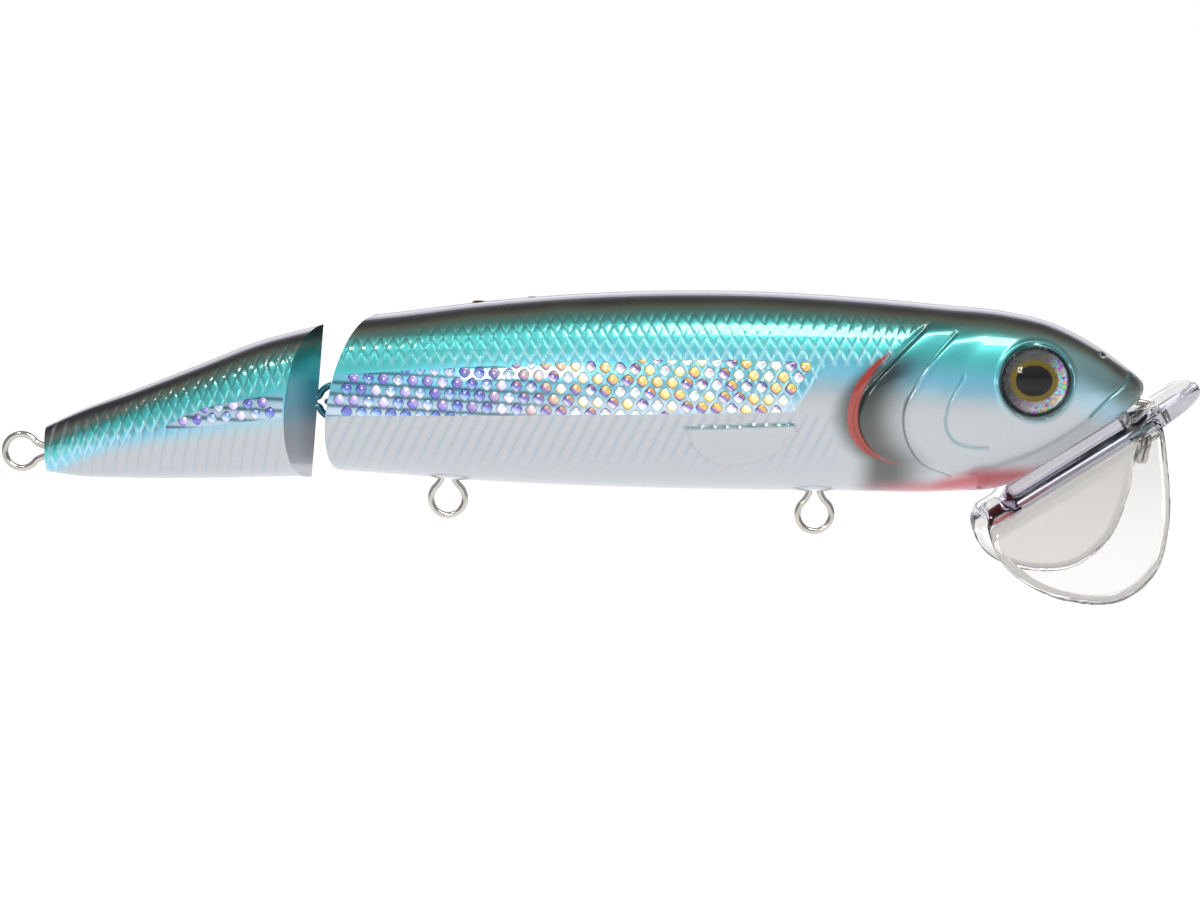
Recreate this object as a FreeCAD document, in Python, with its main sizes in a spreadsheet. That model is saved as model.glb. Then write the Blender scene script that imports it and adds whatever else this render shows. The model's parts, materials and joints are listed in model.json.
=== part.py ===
"""Two-piece jointed fishing lure: a hollow front body and a hollow tail linked by two wire eyes.

Millimetres. The origin is the centre of the line-tie eye under the nose, +X points forward out of
the nose, +Z up to the back, and the halves of every shell meet on the plane Y = 0.
"""

import FreeCAD, Part
import Sketcher
import math
import os

V = FreeCAD.Vector
X_AXIS, Y_AXIS, Z_AXIS = V(1, 0, 0), V(0, 1, 0), V(0, 0, 1)

doc = FreeCAD.newDocument("jointed_lure")
sheet = doc.addObject("Spreadsheet::Sheet", "Sizes")

# Driving dimensions, one cell each.
DIMENSIONS = {
    "wall": 1.6,                # shell wall
    "foilThick": 0.3,           # depth of the foil band's seat
    "wireRad": 0.575,           # stainless wire of every eye
    "hookEyeRad": 2.83,         # ring centre line of the hook hangers
    "tieEyeRad": 2.95,          # ring centre line of the line tie
    "jointEyeRad": 2.76,        # ring centre line of the two hinge eyes
    "anchorRad": 2.05,          # ring centre line of the buried ends
    "legSpread": 1.0,           # each leg of a hanger from its middle line
    "stemRad": 0.95,            # twisted stem of a hinge eye
    "bodyEyeX": -132.83,        # flat eye on the front body, and the hinge axis
    "tailEyeX": -134.33,        # upright eye on the tail
    "jointZ": 3.17,
    "frontHangX": -54.4, "frontHangZ": -15.7,
    "rearHangX": -115.6, "rearHangZ": -13.0,
    "tailHangX": -186.6, "tailHangZ": -5.1,
    "notchTan": 0.577,          # slope of the notch and the wedge, 30 degrees
    "eyeX": -19.0, "eyeZ": 7.0, # fish eye
    "eyeRad": 5.75, "discThick": 0.4, "discSeat": 7.0, "lensRim": 0.7, "lensDome": 1.15,
    "frontHangReach": 9.4, "rearHangReach": 9.0, "tailHangReach": 10.5,    # loop to buried end
    "bodyEyeReach": 13.0, "tailEyeReach": 14.0, "tieReach": 8.2,
    "pinRad": 1.15, "pinLong": 4.2,
    "ballastRad": 3.0, "frontBallastLong": 20.0, "rearBallastLong": 12.0,
    "tailBallastRad": 2.1, "tailBallastLong": 9.0,
    "rattleRad": 2.8, "rattleBoreRad": 3.05, "rattleTubeRad": 4.1, "rattleLong": 21.0,
    "rattleX": -46.0, "rattleZ": 7.5,
    "ringRad": 2.7, "ringWire": 0.5, "ringDropZ": -4.46,
    "chinTop": -3.3,            # the lip's root face, measured down the lip's own normal
    "lipPlate": 3.5, "lipThick": 2.8, "lipFlat": 6.0, "lipBend": 6.0, "lipDroop": 60.0,
    "tabFront": 10.6, "tabHalf": 8.6, "tabTop": -1.7, "tabThick": 2.8,
    "lipRise": 32.0,            # angle of the lip's root plate above level
}
for row, (alias, value) in enumerate(DIMENSIONS.items(), start=1):
    cell = "A%d" % row
    sheet.set(cell, str(value))
    sheet.setAlias(cell, alias)
doc.recompute()
D = {alias: float(sheet.get(alias)) for alias in DIMENSIONS}

# Stations of the two hulls: x, height of the back, height of the belly, half width.
BODY_STATIONS = [
    (-138.0, 16.6, -8.1, 8.2), (-125.0, 17.95, -9.05, 9.1), (-108.0, 20.0, -10.3, 9.8),
    (-88.0, 21.4, -11.2, 10.3), (-68.0, 21.6, -11.65, 10.4), (-48.0, 20.6, -11.85, 10.3),
    (-33.0, 19.25, -11.9, 10.0), (-23.0, 18.2, -11.0, 9.3), (-15.0, 16.2, -8.2, 8.1),
    (-8.0, 12.6, -3.4, 6.3), (-3.4, 9.35, 0.4, 4.4), (-0.9, 7.4, 3.0, 2.7), (-0.1, 6.6, 4.2, 1.6),
]
TAIL_STATIONS = [
    (-135.0, 16.3, -9.3, 8.3), (-147.0, 13.2, -9.6, 7.6), (-157.0, 9.3, -9.75, 6.5),
    (-168.0, 5.0, -9.7, 4.9), (-177.0, 1.6, -9.35, 3.3), (-182.4, -0.9, -8.6, 2.3),
]
SECTION_STEPS = 8     # spans down one side of a section
SECTION_FULL = 0.86   # below 1 fills the section out towards a rounded box


def half_section(x, top, bottom, half, side):
    """One closed half section: a smooth flank and a straight line on the middle plane."""
    mid, tall = (top + bottom) / 2, (top - bottom) / 2
    points = []
    for step in range(SECTION_STEPS + 1):
        turn = math.pi * step / SECTION_STEPS
        out = half * math.sin(turn) ** SECTION_FULL if 0 < step < SECTION_STEPS else 0.0
        points.append(V(x, side * out, mid + tall * math.cos(turn)))
    flank = Part.BSplineCurve()
    flank.interpolate(Points=points, InitialTangent=V(0, side, 0), FinalTangent=V(0, -side, 0))
    return Part.Wire([flank.toShape(), Part.LineSegment(points[-1], points[0]).toShape()])


def hull_half(stations, side, inset=0.0):
    """A smooth solid through the stations, each section drawn in by the inset."""
    wires = [half_section(x, t - inset, b + inset, w - inset, side) for x, t, b, w in stations]
    return Part.makeLoft(wires, True, False)


def slab(low, high):
    return Part.makeBox(high[0] - low[0], high[1] - low[1], high[2] - low[2], V(*low))


def rod(x, z, radius, y_from, y_to):
    """A round bar across the lure."""
    return Part.makeCylinder(radius, y_to - y_from, V(x, y_from, z), Y_AXIS)


def prism_y(outline, y_from, y_to):
    """Extrudes an outline of (x, z) points across the lure."""
    points = [V(x, y_from, z) for x, z in outline]
    face = Part.Face(Part.makePolygon(points + points[:1]))
    return face.extrude(V(0, y_to - y_from, 0))


def feature(label, shape):
    made = doc.addObject("Part::Feature", label)
    made.Label = label
    made.Shape = shape
    made.Placement = FreeCAD.Placement()
    return made


def bound(kind, name, place=None, **cells):
    """A primitive whose sizes are bound to cells of the sheet."""
    made = doc.addObject(kind, name)
    for prop, expression in cells.items():
        made.setExpression(prop, expression)
    if place is not None:
        made.Placement = place
    return made


def fused(label, members):
    made = doc.addObject("Part::MultiFuse", label)
    made.Label = label
    made.Shapes = members
    return made


# ---------------------------------------------------------------- wire eyes

def turned(point, direction):
    """A placement at a point with its own Z axis along the direction."""
    return FreeCAD.Placement(point, FreeCAD.Rotation(Z_AXIS, direction))


def ring(name, centre, axis, radius_cell):
    return bound("Part::Torus", name, turned(centre, axis),
                 Radius1="Sizes." + radius_cell, Radius2="Sizes.wireRad")


def wire_eye(label, centre, axis, towards, reach_cell, radius_cell, legs=True):
    """An outer ring, two legs or one twisted stem, and a buried anchor ring at the other end."""
    towards = V(*towards).normalize()
    reach = D[reach_cell]
    anchor = centre + towards * reach
    members = [ring(label + "_loop", centre, axis, radius_cell),
               ring(label + "_anchor", anchor, Y_AXIS, "anchorRad")]
    start, stop = D[radius_cell], reach - D["anchorRad"]
    if legs:
        side = axis.cross(towards).normalize() * D["legSpread"]
        start = math.sqrt(D[radius_cell] ** 2 - D["legSpread"] ** 2)
        stop = reach - math.sqrt(D["anchorRad"] ** 2 - D["legSpread"] ** 2)
        for number, shift in enumerate((side, side * -1), start=1):
            leg = bound("Part::Cylinder", "%s_leg%d" % (label, number),
                        turned(centre + towards * start + shift, towards),
                        Radius="Sizes.wireRad")
            leg.Height = stop - start
            members.append(leg)
    else:
        stem = bound("Part::Cylinder", label + "_stem",
                     turned(centre + towards * start, towards), Radius="Sizes.stemRad")
        stem.Height = stop - start
        members.append(stem)
    return fused(label, members), anchor


JOINT_Z = D["jointZ"]
TIE_LEGS = (-0.68, 0, 0.73)     # the line tie's legs lean back into the head
front_hanger, front_anchor = wire_eye(
    "front_hook_hanger", V(D["frontHangX"], 0, D["frontHangZ"]), Y_AXIS, (0, 0, 1), "frontHangReach",
    "hookEyeRad")
rear_hanger, rear_anchor = wire_eye(
    "rear_hook_hanger", V(D["rearHangX"], 0, D["rearHangZ"]), Y_AXIS, (0, 0, 1), "rearHangReach",
    "hookEyeRad")
tail_hanger, tail_anchor = wire_eye(
    "tail_hook_hanger", V(D["tailHangX"], 0, D["tailHangZ"]), Y_AXIS, (1, 0, 0), "tailHangReach",
    "hookEyeRad")
body_eye, body_eye_anchor = wire_eye(
    "body_joint_eye", V(D["bodyEyeX"], 0, JOINT_Z), Z_AXIS, (1, 0, 0), "bodyEyeReach",
    "jointEyeRad", False)
tail_eye, tail_eye_anchor = wire_eye(
    "tail_joint_eye", V(D["tailEyeX"], 0, JOINT_Z), Y_AXIS, (-1, 0, 0), "tailEyeReach",
    "jointEyeRad", False)
line_tie, tie_anchor = wire_eye(
    "line_tie_eye", V(0, 0, 0), Y_AXIS, TIE_LEGS, "tieReach", "tieEyeRad")

# The split ring: two coils side by side, hanging on the line tie.
COIL_LAP = 0.96     # the coils press into each other a little
coils = [bound("Part::Torus", "split_ring_coil%d" % number,
               turned(V(shift * D["ringWire"] * COIL_LAP, 0, D["ringDropZ"]), X_AXIS),
               Radius1="Sizes.ringRad", Radius2="Sizes.ringWire")
         for number, shift in ((1, -1), (2, 1))]
split_ring = fused("split_ring", coils)

# ---------------------------------------------------------------- turned and padded pieces


def origin_plane(body, role):
    return [part for part in body.Origin.OriginFeatures if part.Role == role][0]


def padded_disc(label, place, radius, length, chamfer=0.0):
    """One circle padded, with broken edges when a chamfer is given."""
    body = doc.addObject("PartDesign::Body", label)
    body.Label = label
    sketch = body.newObject("Sketcher::SketchObject", label + "_outline")
    sketch.AttachmentSupport = (origin_plane(body, "XY_Plane"), [""])
    sketch.MapMode = "FlatFace"
    circle = sketch.addGeometry(Part.Circle(V(0, 0, 0), Z_AXIS, D[radius]), False)
    sketch.addConstraint(Sketcher.Constraint("Coincident", circle, 3, -1, 1))
    sketch.addConstraint(Sketcher.Constraint("Radius", circle, D[radius]))
    sketch.setExpression("Constraints[1]", "Sizes." + radius)
    pad = body.newObject("PartDesign::Pad", label + "_pad")
    pad.Profile = sketch
    pad.setExpression("Length", "Sizes." + length)
    doc.recompute()
    if chamfer:
        edges = body.newObject("PartDesign::Chamfer", label + "_chamfer")
        edges.Base = (pad, ["Edge%d" % (n + 1) for n, edge in enumerate(pad.Shape.Edges)
                            if edge.Curve.TypeId == "Part::GeomCircle"])
        edges.Size = chamfer
        body.Tip = edges
    body.Placement = place
    return body


def along_x(x, z, length):
    return turned(V(x - length / 2, 0, z), X_AXIS)


WEIGHT_EDGE, PIN_EDGE = 0.4, 0.25       # broken edges
FRONT_BALLAST_X, REAR_BALLAST_X, TAIL_BALLAST_X = -78.0, -101.0, -164.0
FRONT_BALLAST_Z, REAR_BALLAST_Z, TAIL_BALLAST_Z = -6.6, -5.6, -5.0
front_ballast = padded_disc("front_ballast", along_x(FRONT_BALLAST_X, FRONT_BALLAST_Z,
                            D["frontBallastLong"]), "ballastRad", "frontBallastLong", WEIGHT_EDGE)
rear_ballast = padded_disc("rear_ballast", along_x(REAR_BALLAST_X, REAR_BALLAST_Z,
                           D["rearBallastLong"]), "ballastRad", "rearBallastLong", WEIGHT_EDGE)
tail_ballast = padded_disc("tail_ballast", along_x(TAIL_BALLAST_X, TAIL_BALLAST_Z,
                           D["tailBallastLong"]), "tailBallastRad", "tailBallastLong", WEIGHT_EDGE)

BACK_PINS = {"back_pin_front": (-101.2, 20.62), "back_pin_rear": (-110.3, 19.95)}
pins = {name: padded_disc(name, turned(V(x, 0, top - D["pinLong"]), Z_AXIS),
                          "pinRad", "pinLong", PIN_EDGE)
        for name, (x, top) in BACK_PINS.items()}

SIDES = (("right", -1), ("left", 1))
discs = {name: padded_disc("eye_disc_" + name,
                           turned(V(D["eyeX"], side * D["discSeat"], D["eyeZ"]), Y_AXIS * side),
                           "eyeRad", "discThick")
         for name, side in SIDES}


def lens(side):
    """A flat-backed round lens: a short rim below a shallow spherical dome."""
    seat = D["discSeat"] + D["discThick"]
    radius, dome = D["eyeRad"], D["lensDome"]
    ball = (radius ** 2 + dome ** 2) / (2 * dome)
    blank = rod(D["eyeX"], D["eyeZ"], radius, seat, seat + D["lensRim"] + 2 * dome)
    dome_ball = Part.makeSphere(ball, V(D["eyeX"], seat + D["lensRim"] + dome - ball, D["eyeZ"]))
    shape = blank.common(dome_ball)
    return shape if side > 0 else shape.mirror(V(0, 0, 0), Y_AXIS)


lenses = {name: feature("eye_lens_" + name, lens(side)) for name, side in SIDES}

BALL_GAP = 0.1
BALL_PITCH = 2 * D["rattleRad"] + BALL_GAP
balls = [bound("Part::Sphere", "rattle_ball%d" % (n + 2),
               FreeCAD.Placement(V(D["rattleX"] + n * BALL_PITCH, 0, D["rattleZ"]),
                                 FreeCAD.Rotation()), Radius="Sizes.rattleRad")
         for n in (-1, 0, 1)]
rattle_balls = doc.addObject("Part::Compound", "rattle_balls")
rattle_balls.Label = "rattle_balls"
rattle_balls.Links = balls

# ---------------------------------------------------------------- lip

RISE = math.radians(D["lipRise"])
TO_LIP = FreeCAD.Placement(V(0, 0, 0), FreeCAD.Rotation(Y_AXIS, -D["lipRise"]))
# The lip's rim from heel to front, in lip coordinates (u, a).
LIP_RIM = [(-26.5, -3.0), (-31.0, 0.5), (-33.0, 5.0), (-31.4, 10.5), (-27.0, 15.8), (-20.6, 19.3),
           (-13.6, 18.6), (-7.2, 13.6), (-1.6, 5.6), (1.6, 0.4)]
LIP_BASE = -0.4                     # middle of the plate where it is flat
LIP_DEEP = 27.0                     # the wings before trimming
LIP_REAR, LIP_LONG = -36.0, 42.0    # the arch before trimming
LIP_SIDE = 40.0                     # clear of the lip on each side
ROOT_REAR, ROOT_FRONT, ROOT_HALF = -25.0, 2.0, 6.2
TAB_ROUND = 4.0                     # where the tab's rounded front starts
RELIEF_LONG, RELIEF_HALF, RELIEF_TOP = 2.35, 2.4, 0.2    # room for the swinging split ring


def lip_point(u, y, a):
    """Lip coordinates: u forward along the root plate, y across, a down its normal."""
    return V(u * math.cos(RISE) + a * math.sin(RISE), y, u * math.sin(RISE) - a * math.cos(RISE))


def arch_side(offset):
    """Points of one skin: flat end, middle of the bend, end of the bend, wing's end."""
    droop = math.radians(D["lipDroop"])
    flat, bend = D["lipFlat"], D["lipBend"]
    points = []
    for turn in (0.0, droop / 2, droop):
        points.append((flat + (bend + offset) * math.sin(turn),
                       LIP_BASE + bend - (bend + offset) * math.cos(turn)))
    y, a = points[-1]
    points.append((y + (LIP_DEEP - a) / math.tan(droop), LIP_DEEP))
    return points


def lip_arch():
    """The drooping arch, drawn across the lip at its rear and extruded forward."""
    flat, half = D["lipFlat"], D["lipThick"] / 2
    skins = [arch_side(half), arch_side(-half)]
    edges = []
    for skin in skins:
        for side in (1, -1):
            pts = [lip_point(LIP_REAR, side * y, a) for y, a in skin]
            edges.append(Part.Arc(pts[0], pts[1], pts[2]).toShape())
            edges.append(Part.LineSegment(pts[2], pts[3]).toShape())
        level = skin[0][1]
        edges.append(Part.LineSegment(lip_point(LIP_REAR, flat, level),
                                      lip_point(LIP_REAR, -flat, level)).toShape())
    for side in (1, -1):
        ends = [lip_point(LIP_REAR, side * skin[3][0], LIP_DEEP) for skin in skins]
        edges.append(Part.LineSegment(*ends).toShape())
    section = Part.Face(Part.Wire(Part.__sortEdges__(edges)))
    return section.extrude(lip_point(LIP_LONG, 0, 0))


def lip_outline():
    """The side outline across the full width: the rim, closed above the root."""
    above = -6.0
    corners = [lip_point(u, -LIP_SIDE, a) for u, a in LIP_RIM]
    rim = Part.BSplineCurve()
    rim.interpolate(corners)
    top_back = lip_point(LIP_RIM[0][0], -LIP_SIDE, above)
    top_front = lip_point(LIP_RIM[-1][0], -LIP_SIDE, above)
    outline = Part.Wire([rim.toShape(),
                         Part.LineSegment(corners[-1], top_front).toShape(),
                         Part.LineSegment(top_front, top_back).toShape(),
                         Part.LineSegment(top_back, corners[0]).toShape()])
    return Part.Face(outline).extrude(V(0, 2 * LIP_SIDE, 0))


def lip_solid():
    """The trimmed arch with its root block, its front tab and the relief under the line tie."""
    whole = lip_arch().common(lip_outline())
    root = slab((ROOT_REAR, -ROOT_HALF, -D["lipPlate"] - D["chinTop"]),
                (ROOT_FRONT, ROOT_HALF, -D["chinTop"]))
    tab_low = -D["tabTop"] - D["tabThick"]
    tab_reach = D["tabFront"] - TAB_ROUND
    tab = slab((-TAB_ROUND, -D["tabHalf"], tab_low),
               (tab_reach, D["tabHalf"], tab_low + D["tabThick"]))
    end = Part.makeCylinder(1.0, D["tabThick"], V(0, 0, tab_low), Z_AXIS)
    end = end.transformGeometry(FreeCAD.Matrix(TAB_ROUND, 0, 0, tab_reach, 0, D["tabHalf"], 0, 0,
                                               0, 0, 1, 0, 0, 0, 0, 1))
    for piece in (root, tab, end):
        piece.Placement = TO_LIP
        whole = whole.fuse(piece)
    relief = slab((-RELIEF_LONG, -RELIEF_HALF, -D["lipThick"]),
                  (RELIEF_LONG, RELIEF_HALF, -RELIEF_TOP))
    relief.Placement = TO_LIP
    return whole.cut(relief).removeSplitter()


lip_raw = lip_solid()

# ---------------------------------------------------------------- shells

NOTCH_TOP, NOTCH_BOTTOM = (-127.0, 17.67), (-132.35, -8.4)    # apex line of the notch
WEDGE_TOP, WEDGE_BOTTOM = (-136.1, 16.2), (-138.3, -9.2)      # apex line of the tail's wedge
FAR = 60.0          # past either end of a half
TALL = 40.0         # above and below everything
SIDE_REACH = 20.0   # clear of the hull's flank
WIDE = 30.0         # clear of everything on one side


def slanted_cut(top, bottom, side, behind):
    """A block whose front or rear face holds the apex line and slopes back across one half."""
    slope = (top[0] - bottom[0]) / (top[1] - bottom[1])
    x_high, x_low = top[0] + slope * (TALL - top[1]), bottom[0] + slope * (-TALL - bottom[1])
    back = D["notchTan"] * SIDE_REACH
    far = -FAR if behind else FAR
    corners = []
    for z, x in ((-TALL, x_low), (TALL, x_high)):
        ring_points = [V(x, 0, z), V(x - back, side * SIDE_REACH, z),
                       V(x + far, side * SIDE_REACH, z), V(x + far, 0, z)]
        corners.append(Part.makePolygon(ring_points + ring_points[:1]))
    return Part.makeLoft(corners, True, True)


def chin_cut(level):
    """Everything on the lip's side of its root face, the given distance down the normal."""
    block = slab((-FAR / 2, -SIDE_REACH, -TALL), (FAR / 2, SIDE_REACH, -level))
    block.Placement = TO_LIP
    return block


FOIL_BAND = [(-133.6, 8.0), (-110.0, 9.2), (-87.0, 10.0), (-52.0, 9.6), (-57.0, 1.7),
             (-87.0, 1.6), (-133.9, 1.1)]
TAIL_FOIL = [(-162.0, -0.8), (-157.5, 1.7), (-143.2, 5.2), (-142.6, 0.9), (-157.0, -0.9)]


RIB_HALF = 0.6              # half the thickness of a cradle wall
FRONT_STOP, REAR_STOP, TAIL_STOP = 3.0, 2.5, 2.0    # cradle walls from a weight's ends
SEAT_GAP = 0.05             # clearance of a piece that is slipped in
CHAMBER_WALL = 1.2
CHAMBER_HALF = 3.4          # half height of the chamber's end walls
BOSS_WALL, BOSS_DEEP = 1.4, 1.6     # boss round and behind the eye's seat
BODY_FOIL_FROM, TAIL_FOIL_FROM, FOIL_TO = 3.0, 2.0, 14.0    # the foil prisms across the lure


def span(x_low, x_high):
    """Everything between two stations."""
    return slab((x_low, -WIDE, -TALL), (x_high, WIDE, TALL))


def ballast_ribs(x, z, length, stop):
    """Two thin cradle walls under a weight, near its ends."""
    return [slab((x + shift - RIB_HALF, -WIDE, -TALL), (x + shift + RIB_HALF, WIDE, z))
            for shift in (-length / 2 + stop, length / 2 - stop)]


def posts(anchors):
    """Round posts across the lure through the buried ends."""
    radius = D["anchorRad"] - D["wireRad"] - SEAT_GAP
    return [rod(point.x, point.z, radius, -WIDE, WIDE) for point in anchors]


def shell_blank(stations, side, trims, cavity):
    """The outer half hull after its trims, and the same half with its cavity taken out."""
    outer = hull_half(stations, side)
    for trim in trims:
        outer = outer.cut(trim)
    return outer, outer.cut(cavity)


def flush_foil(outer, stations, outline, y_from):
    """A foil flush with the hull's surface, and the seat that it needs cut in the shell."""
    prism = prism_y(outline, y_from, FOIL_TO)
    deeper = prism_y(outline, y_from - 1, FOIL_TO + 1)
    inset = hull_half(stations, 1, D["foilThick"]).common(deeper)
    seat = prism.cut(inset)
    return outer.common(seat), seat


def with_details(shell, core, details, tools):
    """Adds what is moulded inside a left half, then cuts the seats of the pieces it holds.

    The core is the hull drawn in by half the wall, so a detail ends inside the wall.
    """
    for detail in details:
        shell = shell.fuse(detail.common(core))
    for tool in tools:
        shell = shell.cut(tool)
    return shell


def body_left_half():
    cavity = hull_half(BODY_STATIONS[:-2], 1, D["wall"]).common(span(-124.5, -6.5))
    cavity = cavity.cut(chin_cut(D["chinTop"] - D["wall"]))
    trims = [slanted_cut(NOTCH_TOP, NOTCH_BOTTOM, 1, True), chin_cut(D["chinTop"])]
    outer, shell = shell_blank(BODY_STATIONS, 1, trims, cavity)
    # Posts through the anchor rings, cradles, the rattle chamber and the boss behind the eye.
    details = posts((front_anchor, rear_anchor, body_eye_anchor, tie_anchor))
    details += ballast_ribs(FRONT_BALLAST_X, FRONT_BALLAST_Z, D["frontBallastLong"], FRONT_STOP)
    details += ballast_ribs(REAR_BALLAST_X, REAR_BALLAST_Z, D["rearBallastLong"], REAR_STOP)
    chamber, z = D["rattleLong"], D["rattleZ"]
    start = V(D["rattleX"] - chamber / 2, 0, z)
    details.append(Part.makeCylinder(D["rattleTubeRad"], chamber + 2 * CHAMBER_WALL,
                                     start - X_AXIS * CHAMBER_WALL, X_AXIS))
    details += [slab((x, -WIDE, z - CHAMBER_HALF), (x + CHAMBER_WALL, WIDE, z + CHAMBER_HALF))
                for x in (start.x - CHAMBER_WALL, start.x + chamber)]
    details.append(rod(D["eyeX"], D["eyeZ"], D["eyeRad"] + BOSS_WALL, D["discSeat"] - BOSS_DEEP, WIDE))
    tools = [Part.makeCylinder(D["rattleBoreRad"], chamber, start, X_AXIS),
             rod(D["eyeX"], D["eyeZ"], D["eyeRad"] + SEAT_GAP, D["discSeat"], FOIL_TO)]
    tools += [piece.Shape for piece in (front_hanger, rear_hanger, body_eye, line_tie,
                                        front_ballast, rear_ballast, *pins.values())]
    foil, seat = flush_foil(outer, BODY_STATIONS, FOIL_BAND, BODY_FOIL_FROM)
    core = hull_half(BODY_STATIONS, 1, D["wall"] / 2).common(span(-130.0, -2.0))
    core = core.cut(chin_cut(D["chinTop"] - D["wall"] / 2))
    return outer, with_details(shell, core, details, tools + [seat]), foil


def tail_left_half():
    cavity = hull_half(TAIL_STATIONS[:-1], 1, D["wall"]).common(span(-172.0, -145.6))
    trims = [slanted_cut(WEDGE_TOP, WEDGE_BOTTOM, 1, False)]
    outer, shell = shell_blank(TAIL_STATIONS, 1, trims, cavity)
    details = posts((tail_anchor, tail_eye_anchor))
    details += ballast_ribs(TAIL_BALLAST_X, TAIL_BALLAST_Z, D["tailBallastLong"], TAIL_STOP)
    foil, seat = flush_foil(outer, TAIL_STATIONS, TAIL_FOIL, TAIL_FOIL_FROM)
    tools = [piece.Shape for piece in (tail_hanger, tail_eye, tail_ballast)] + [seat]
    core = hull_half(TAIL_STATIONS, 1, D["wall"] / 2).common(span(-178.0, -142.0))
    return with_details(shell, core, details, tools), foil


def pair(label, shape):
    """The left piece and its mirror image on the right."""
    return [feature(label + "_left", shape),
            feature(label + "_right", shape.mirror(V(0, 0, 0), Y_AXIS))]


doc.recompute()
nodes = [front_hanger, rear_hanger, tail_hanger, body_eye, tail_eye, line_tie, split_ring,
         front_ballast, rear_ballast, tail_ballast, rattle_balls]
nodes += list(pins.values()) + list(discs.values()) + list(lenses.values())
lip_shape = lip_raw.cut(line_tie.Shape)
body_outer, body_half, body_foil = body_left_half()
tail_half, tail_foil = tail_left_half()
for label, shape in (("body_shell", body_half), ("holo_foil", body_foil),
                     ("tail_shell", tail_half), ("tail_foil", tail_foil)):
    nodes += pair(label, shape)
for head in (body_outer, body_outer.mirror(V(0, 0, 0), Y_AXIS)):
    lip_shape = lip_shape.cut(head)
nodes.append(feature("lip", lip_shape))
doc.recompute()

os.makedirs("parts", exist_ok=True)
for item in doc.Objects:
    if "Invalid" in item.State or "Error" in item.State:
        raise SystemExit("%s did not recompute: %s" % (item.Label, item.State))
for node in nodes:
    shape = node.Shape
    if shape.isNull() or not shape.isValid():
        raise SystemExit("%s has no valid shape" % node.Label)
    print("%-20s solids %d volume %9.2f" % (node.Label, len(shape.Solids), shape.Volume))
    shape.exportStep("parts/%s.step" % node.Label)
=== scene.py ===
# %% [markdown]
# # A jointed fishing lure
# The lure is a hollow, painted fish in two sections. Two linked wire eyes let the tail swing, a clear
# scoop lip makes the whole lure dive, and holographic foil runs along the flank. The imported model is
# loaded first and stays fixed. Every visible piece is then made around it, in the same frame.

# %% Load the frame
import bmesh
import bpy
import json
import math
import numpy as np
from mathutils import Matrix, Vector


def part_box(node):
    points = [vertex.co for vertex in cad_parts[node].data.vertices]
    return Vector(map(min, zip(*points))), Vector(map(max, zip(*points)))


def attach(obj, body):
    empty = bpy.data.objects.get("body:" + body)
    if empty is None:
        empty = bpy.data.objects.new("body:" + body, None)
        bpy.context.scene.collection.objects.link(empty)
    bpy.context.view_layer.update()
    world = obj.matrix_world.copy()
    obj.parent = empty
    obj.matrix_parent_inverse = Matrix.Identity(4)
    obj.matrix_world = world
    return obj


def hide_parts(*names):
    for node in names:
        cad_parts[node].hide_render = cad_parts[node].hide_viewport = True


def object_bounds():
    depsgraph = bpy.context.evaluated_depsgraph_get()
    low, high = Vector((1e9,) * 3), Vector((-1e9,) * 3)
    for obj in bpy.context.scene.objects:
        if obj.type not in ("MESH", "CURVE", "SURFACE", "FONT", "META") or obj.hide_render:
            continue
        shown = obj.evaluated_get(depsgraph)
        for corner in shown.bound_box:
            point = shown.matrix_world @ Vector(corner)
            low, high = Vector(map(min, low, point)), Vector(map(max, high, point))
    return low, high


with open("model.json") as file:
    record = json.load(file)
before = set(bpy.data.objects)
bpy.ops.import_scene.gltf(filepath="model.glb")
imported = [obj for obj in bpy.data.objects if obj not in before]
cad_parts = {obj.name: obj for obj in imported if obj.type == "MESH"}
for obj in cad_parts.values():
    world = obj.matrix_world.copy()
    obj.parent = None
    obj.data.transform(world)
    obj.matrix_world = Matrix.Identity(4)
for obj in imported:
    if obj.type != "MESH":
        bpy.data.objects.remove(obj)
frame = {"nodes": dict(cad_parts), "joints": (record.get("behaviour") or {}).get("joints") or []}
cad_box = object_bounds()
MM = 0.001


def node_box(node):
    """A node's lowest and highest corners, in millimetres."""
    low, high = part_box(node)
    return np.array(low) / MM, np.array(high) / MM


# %% [markdown]
# ## Camera, floor and light
# The lure is seen square on from its right side, from a little above. A long lens keeps the tail and
# the nose at the same scale. The stage is white all round, as in a catalogue picture: large soft
# lights make the long highlights on the clear coat, and darker cards give the clear lip its edges.

# %% Camera
low, high = [np.array(corner) for corner in cad_box]
centre = (low + high) / 2
ELEVATION = math.radians(5.0)
DISTANCE = 0.433
LENS = 77.9
LOOK_BELOW = 0.0018     # the view is aimed this far under the middle of the model
target = Vector((centre[0], 0.0, centre[2] - LOOK_BELOW))
camera = bpy.data.objects.new("camera", bpy.data.cameras.new("camera"))
camera.data.lens = LENS
camera.location = target + DISTANCE * Vector((0, -math.cos(ELEVATION), math.sin(ELEVATION)))
camera.rotation_euler = (target - camera.location).to_track_quat("-Z", "Y").to_euler()
bpy.context.scene.collection.objects.link(camera)
bpy.context.scene.camera = camera
print("camera", [round(v, 3) for v in camera.location])


# %% Floor
def link(obj):
    """Puts an object in the scene and hands it back."""
    bpy.context.scene.collection.objects.link(obj)
    return obj


FLOOR_Z = low[2] - 0.06     # low enough that the lure floats clear of it
REACH = 60.0
plane = bpy.data.meshes.new("floor")
plane.from_pydata([(-REACH, -REACH, FLOOR_Z), (REACH, -REACH, FLOOR_Z), (REACH, REACH, FLOOR_Z),
                   (-REACH, REACH, FLOOR_Z)], [], [(0, 1, 2, 3)])
floor = link(bpy.data.objects.new("floor", plane))


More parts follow.
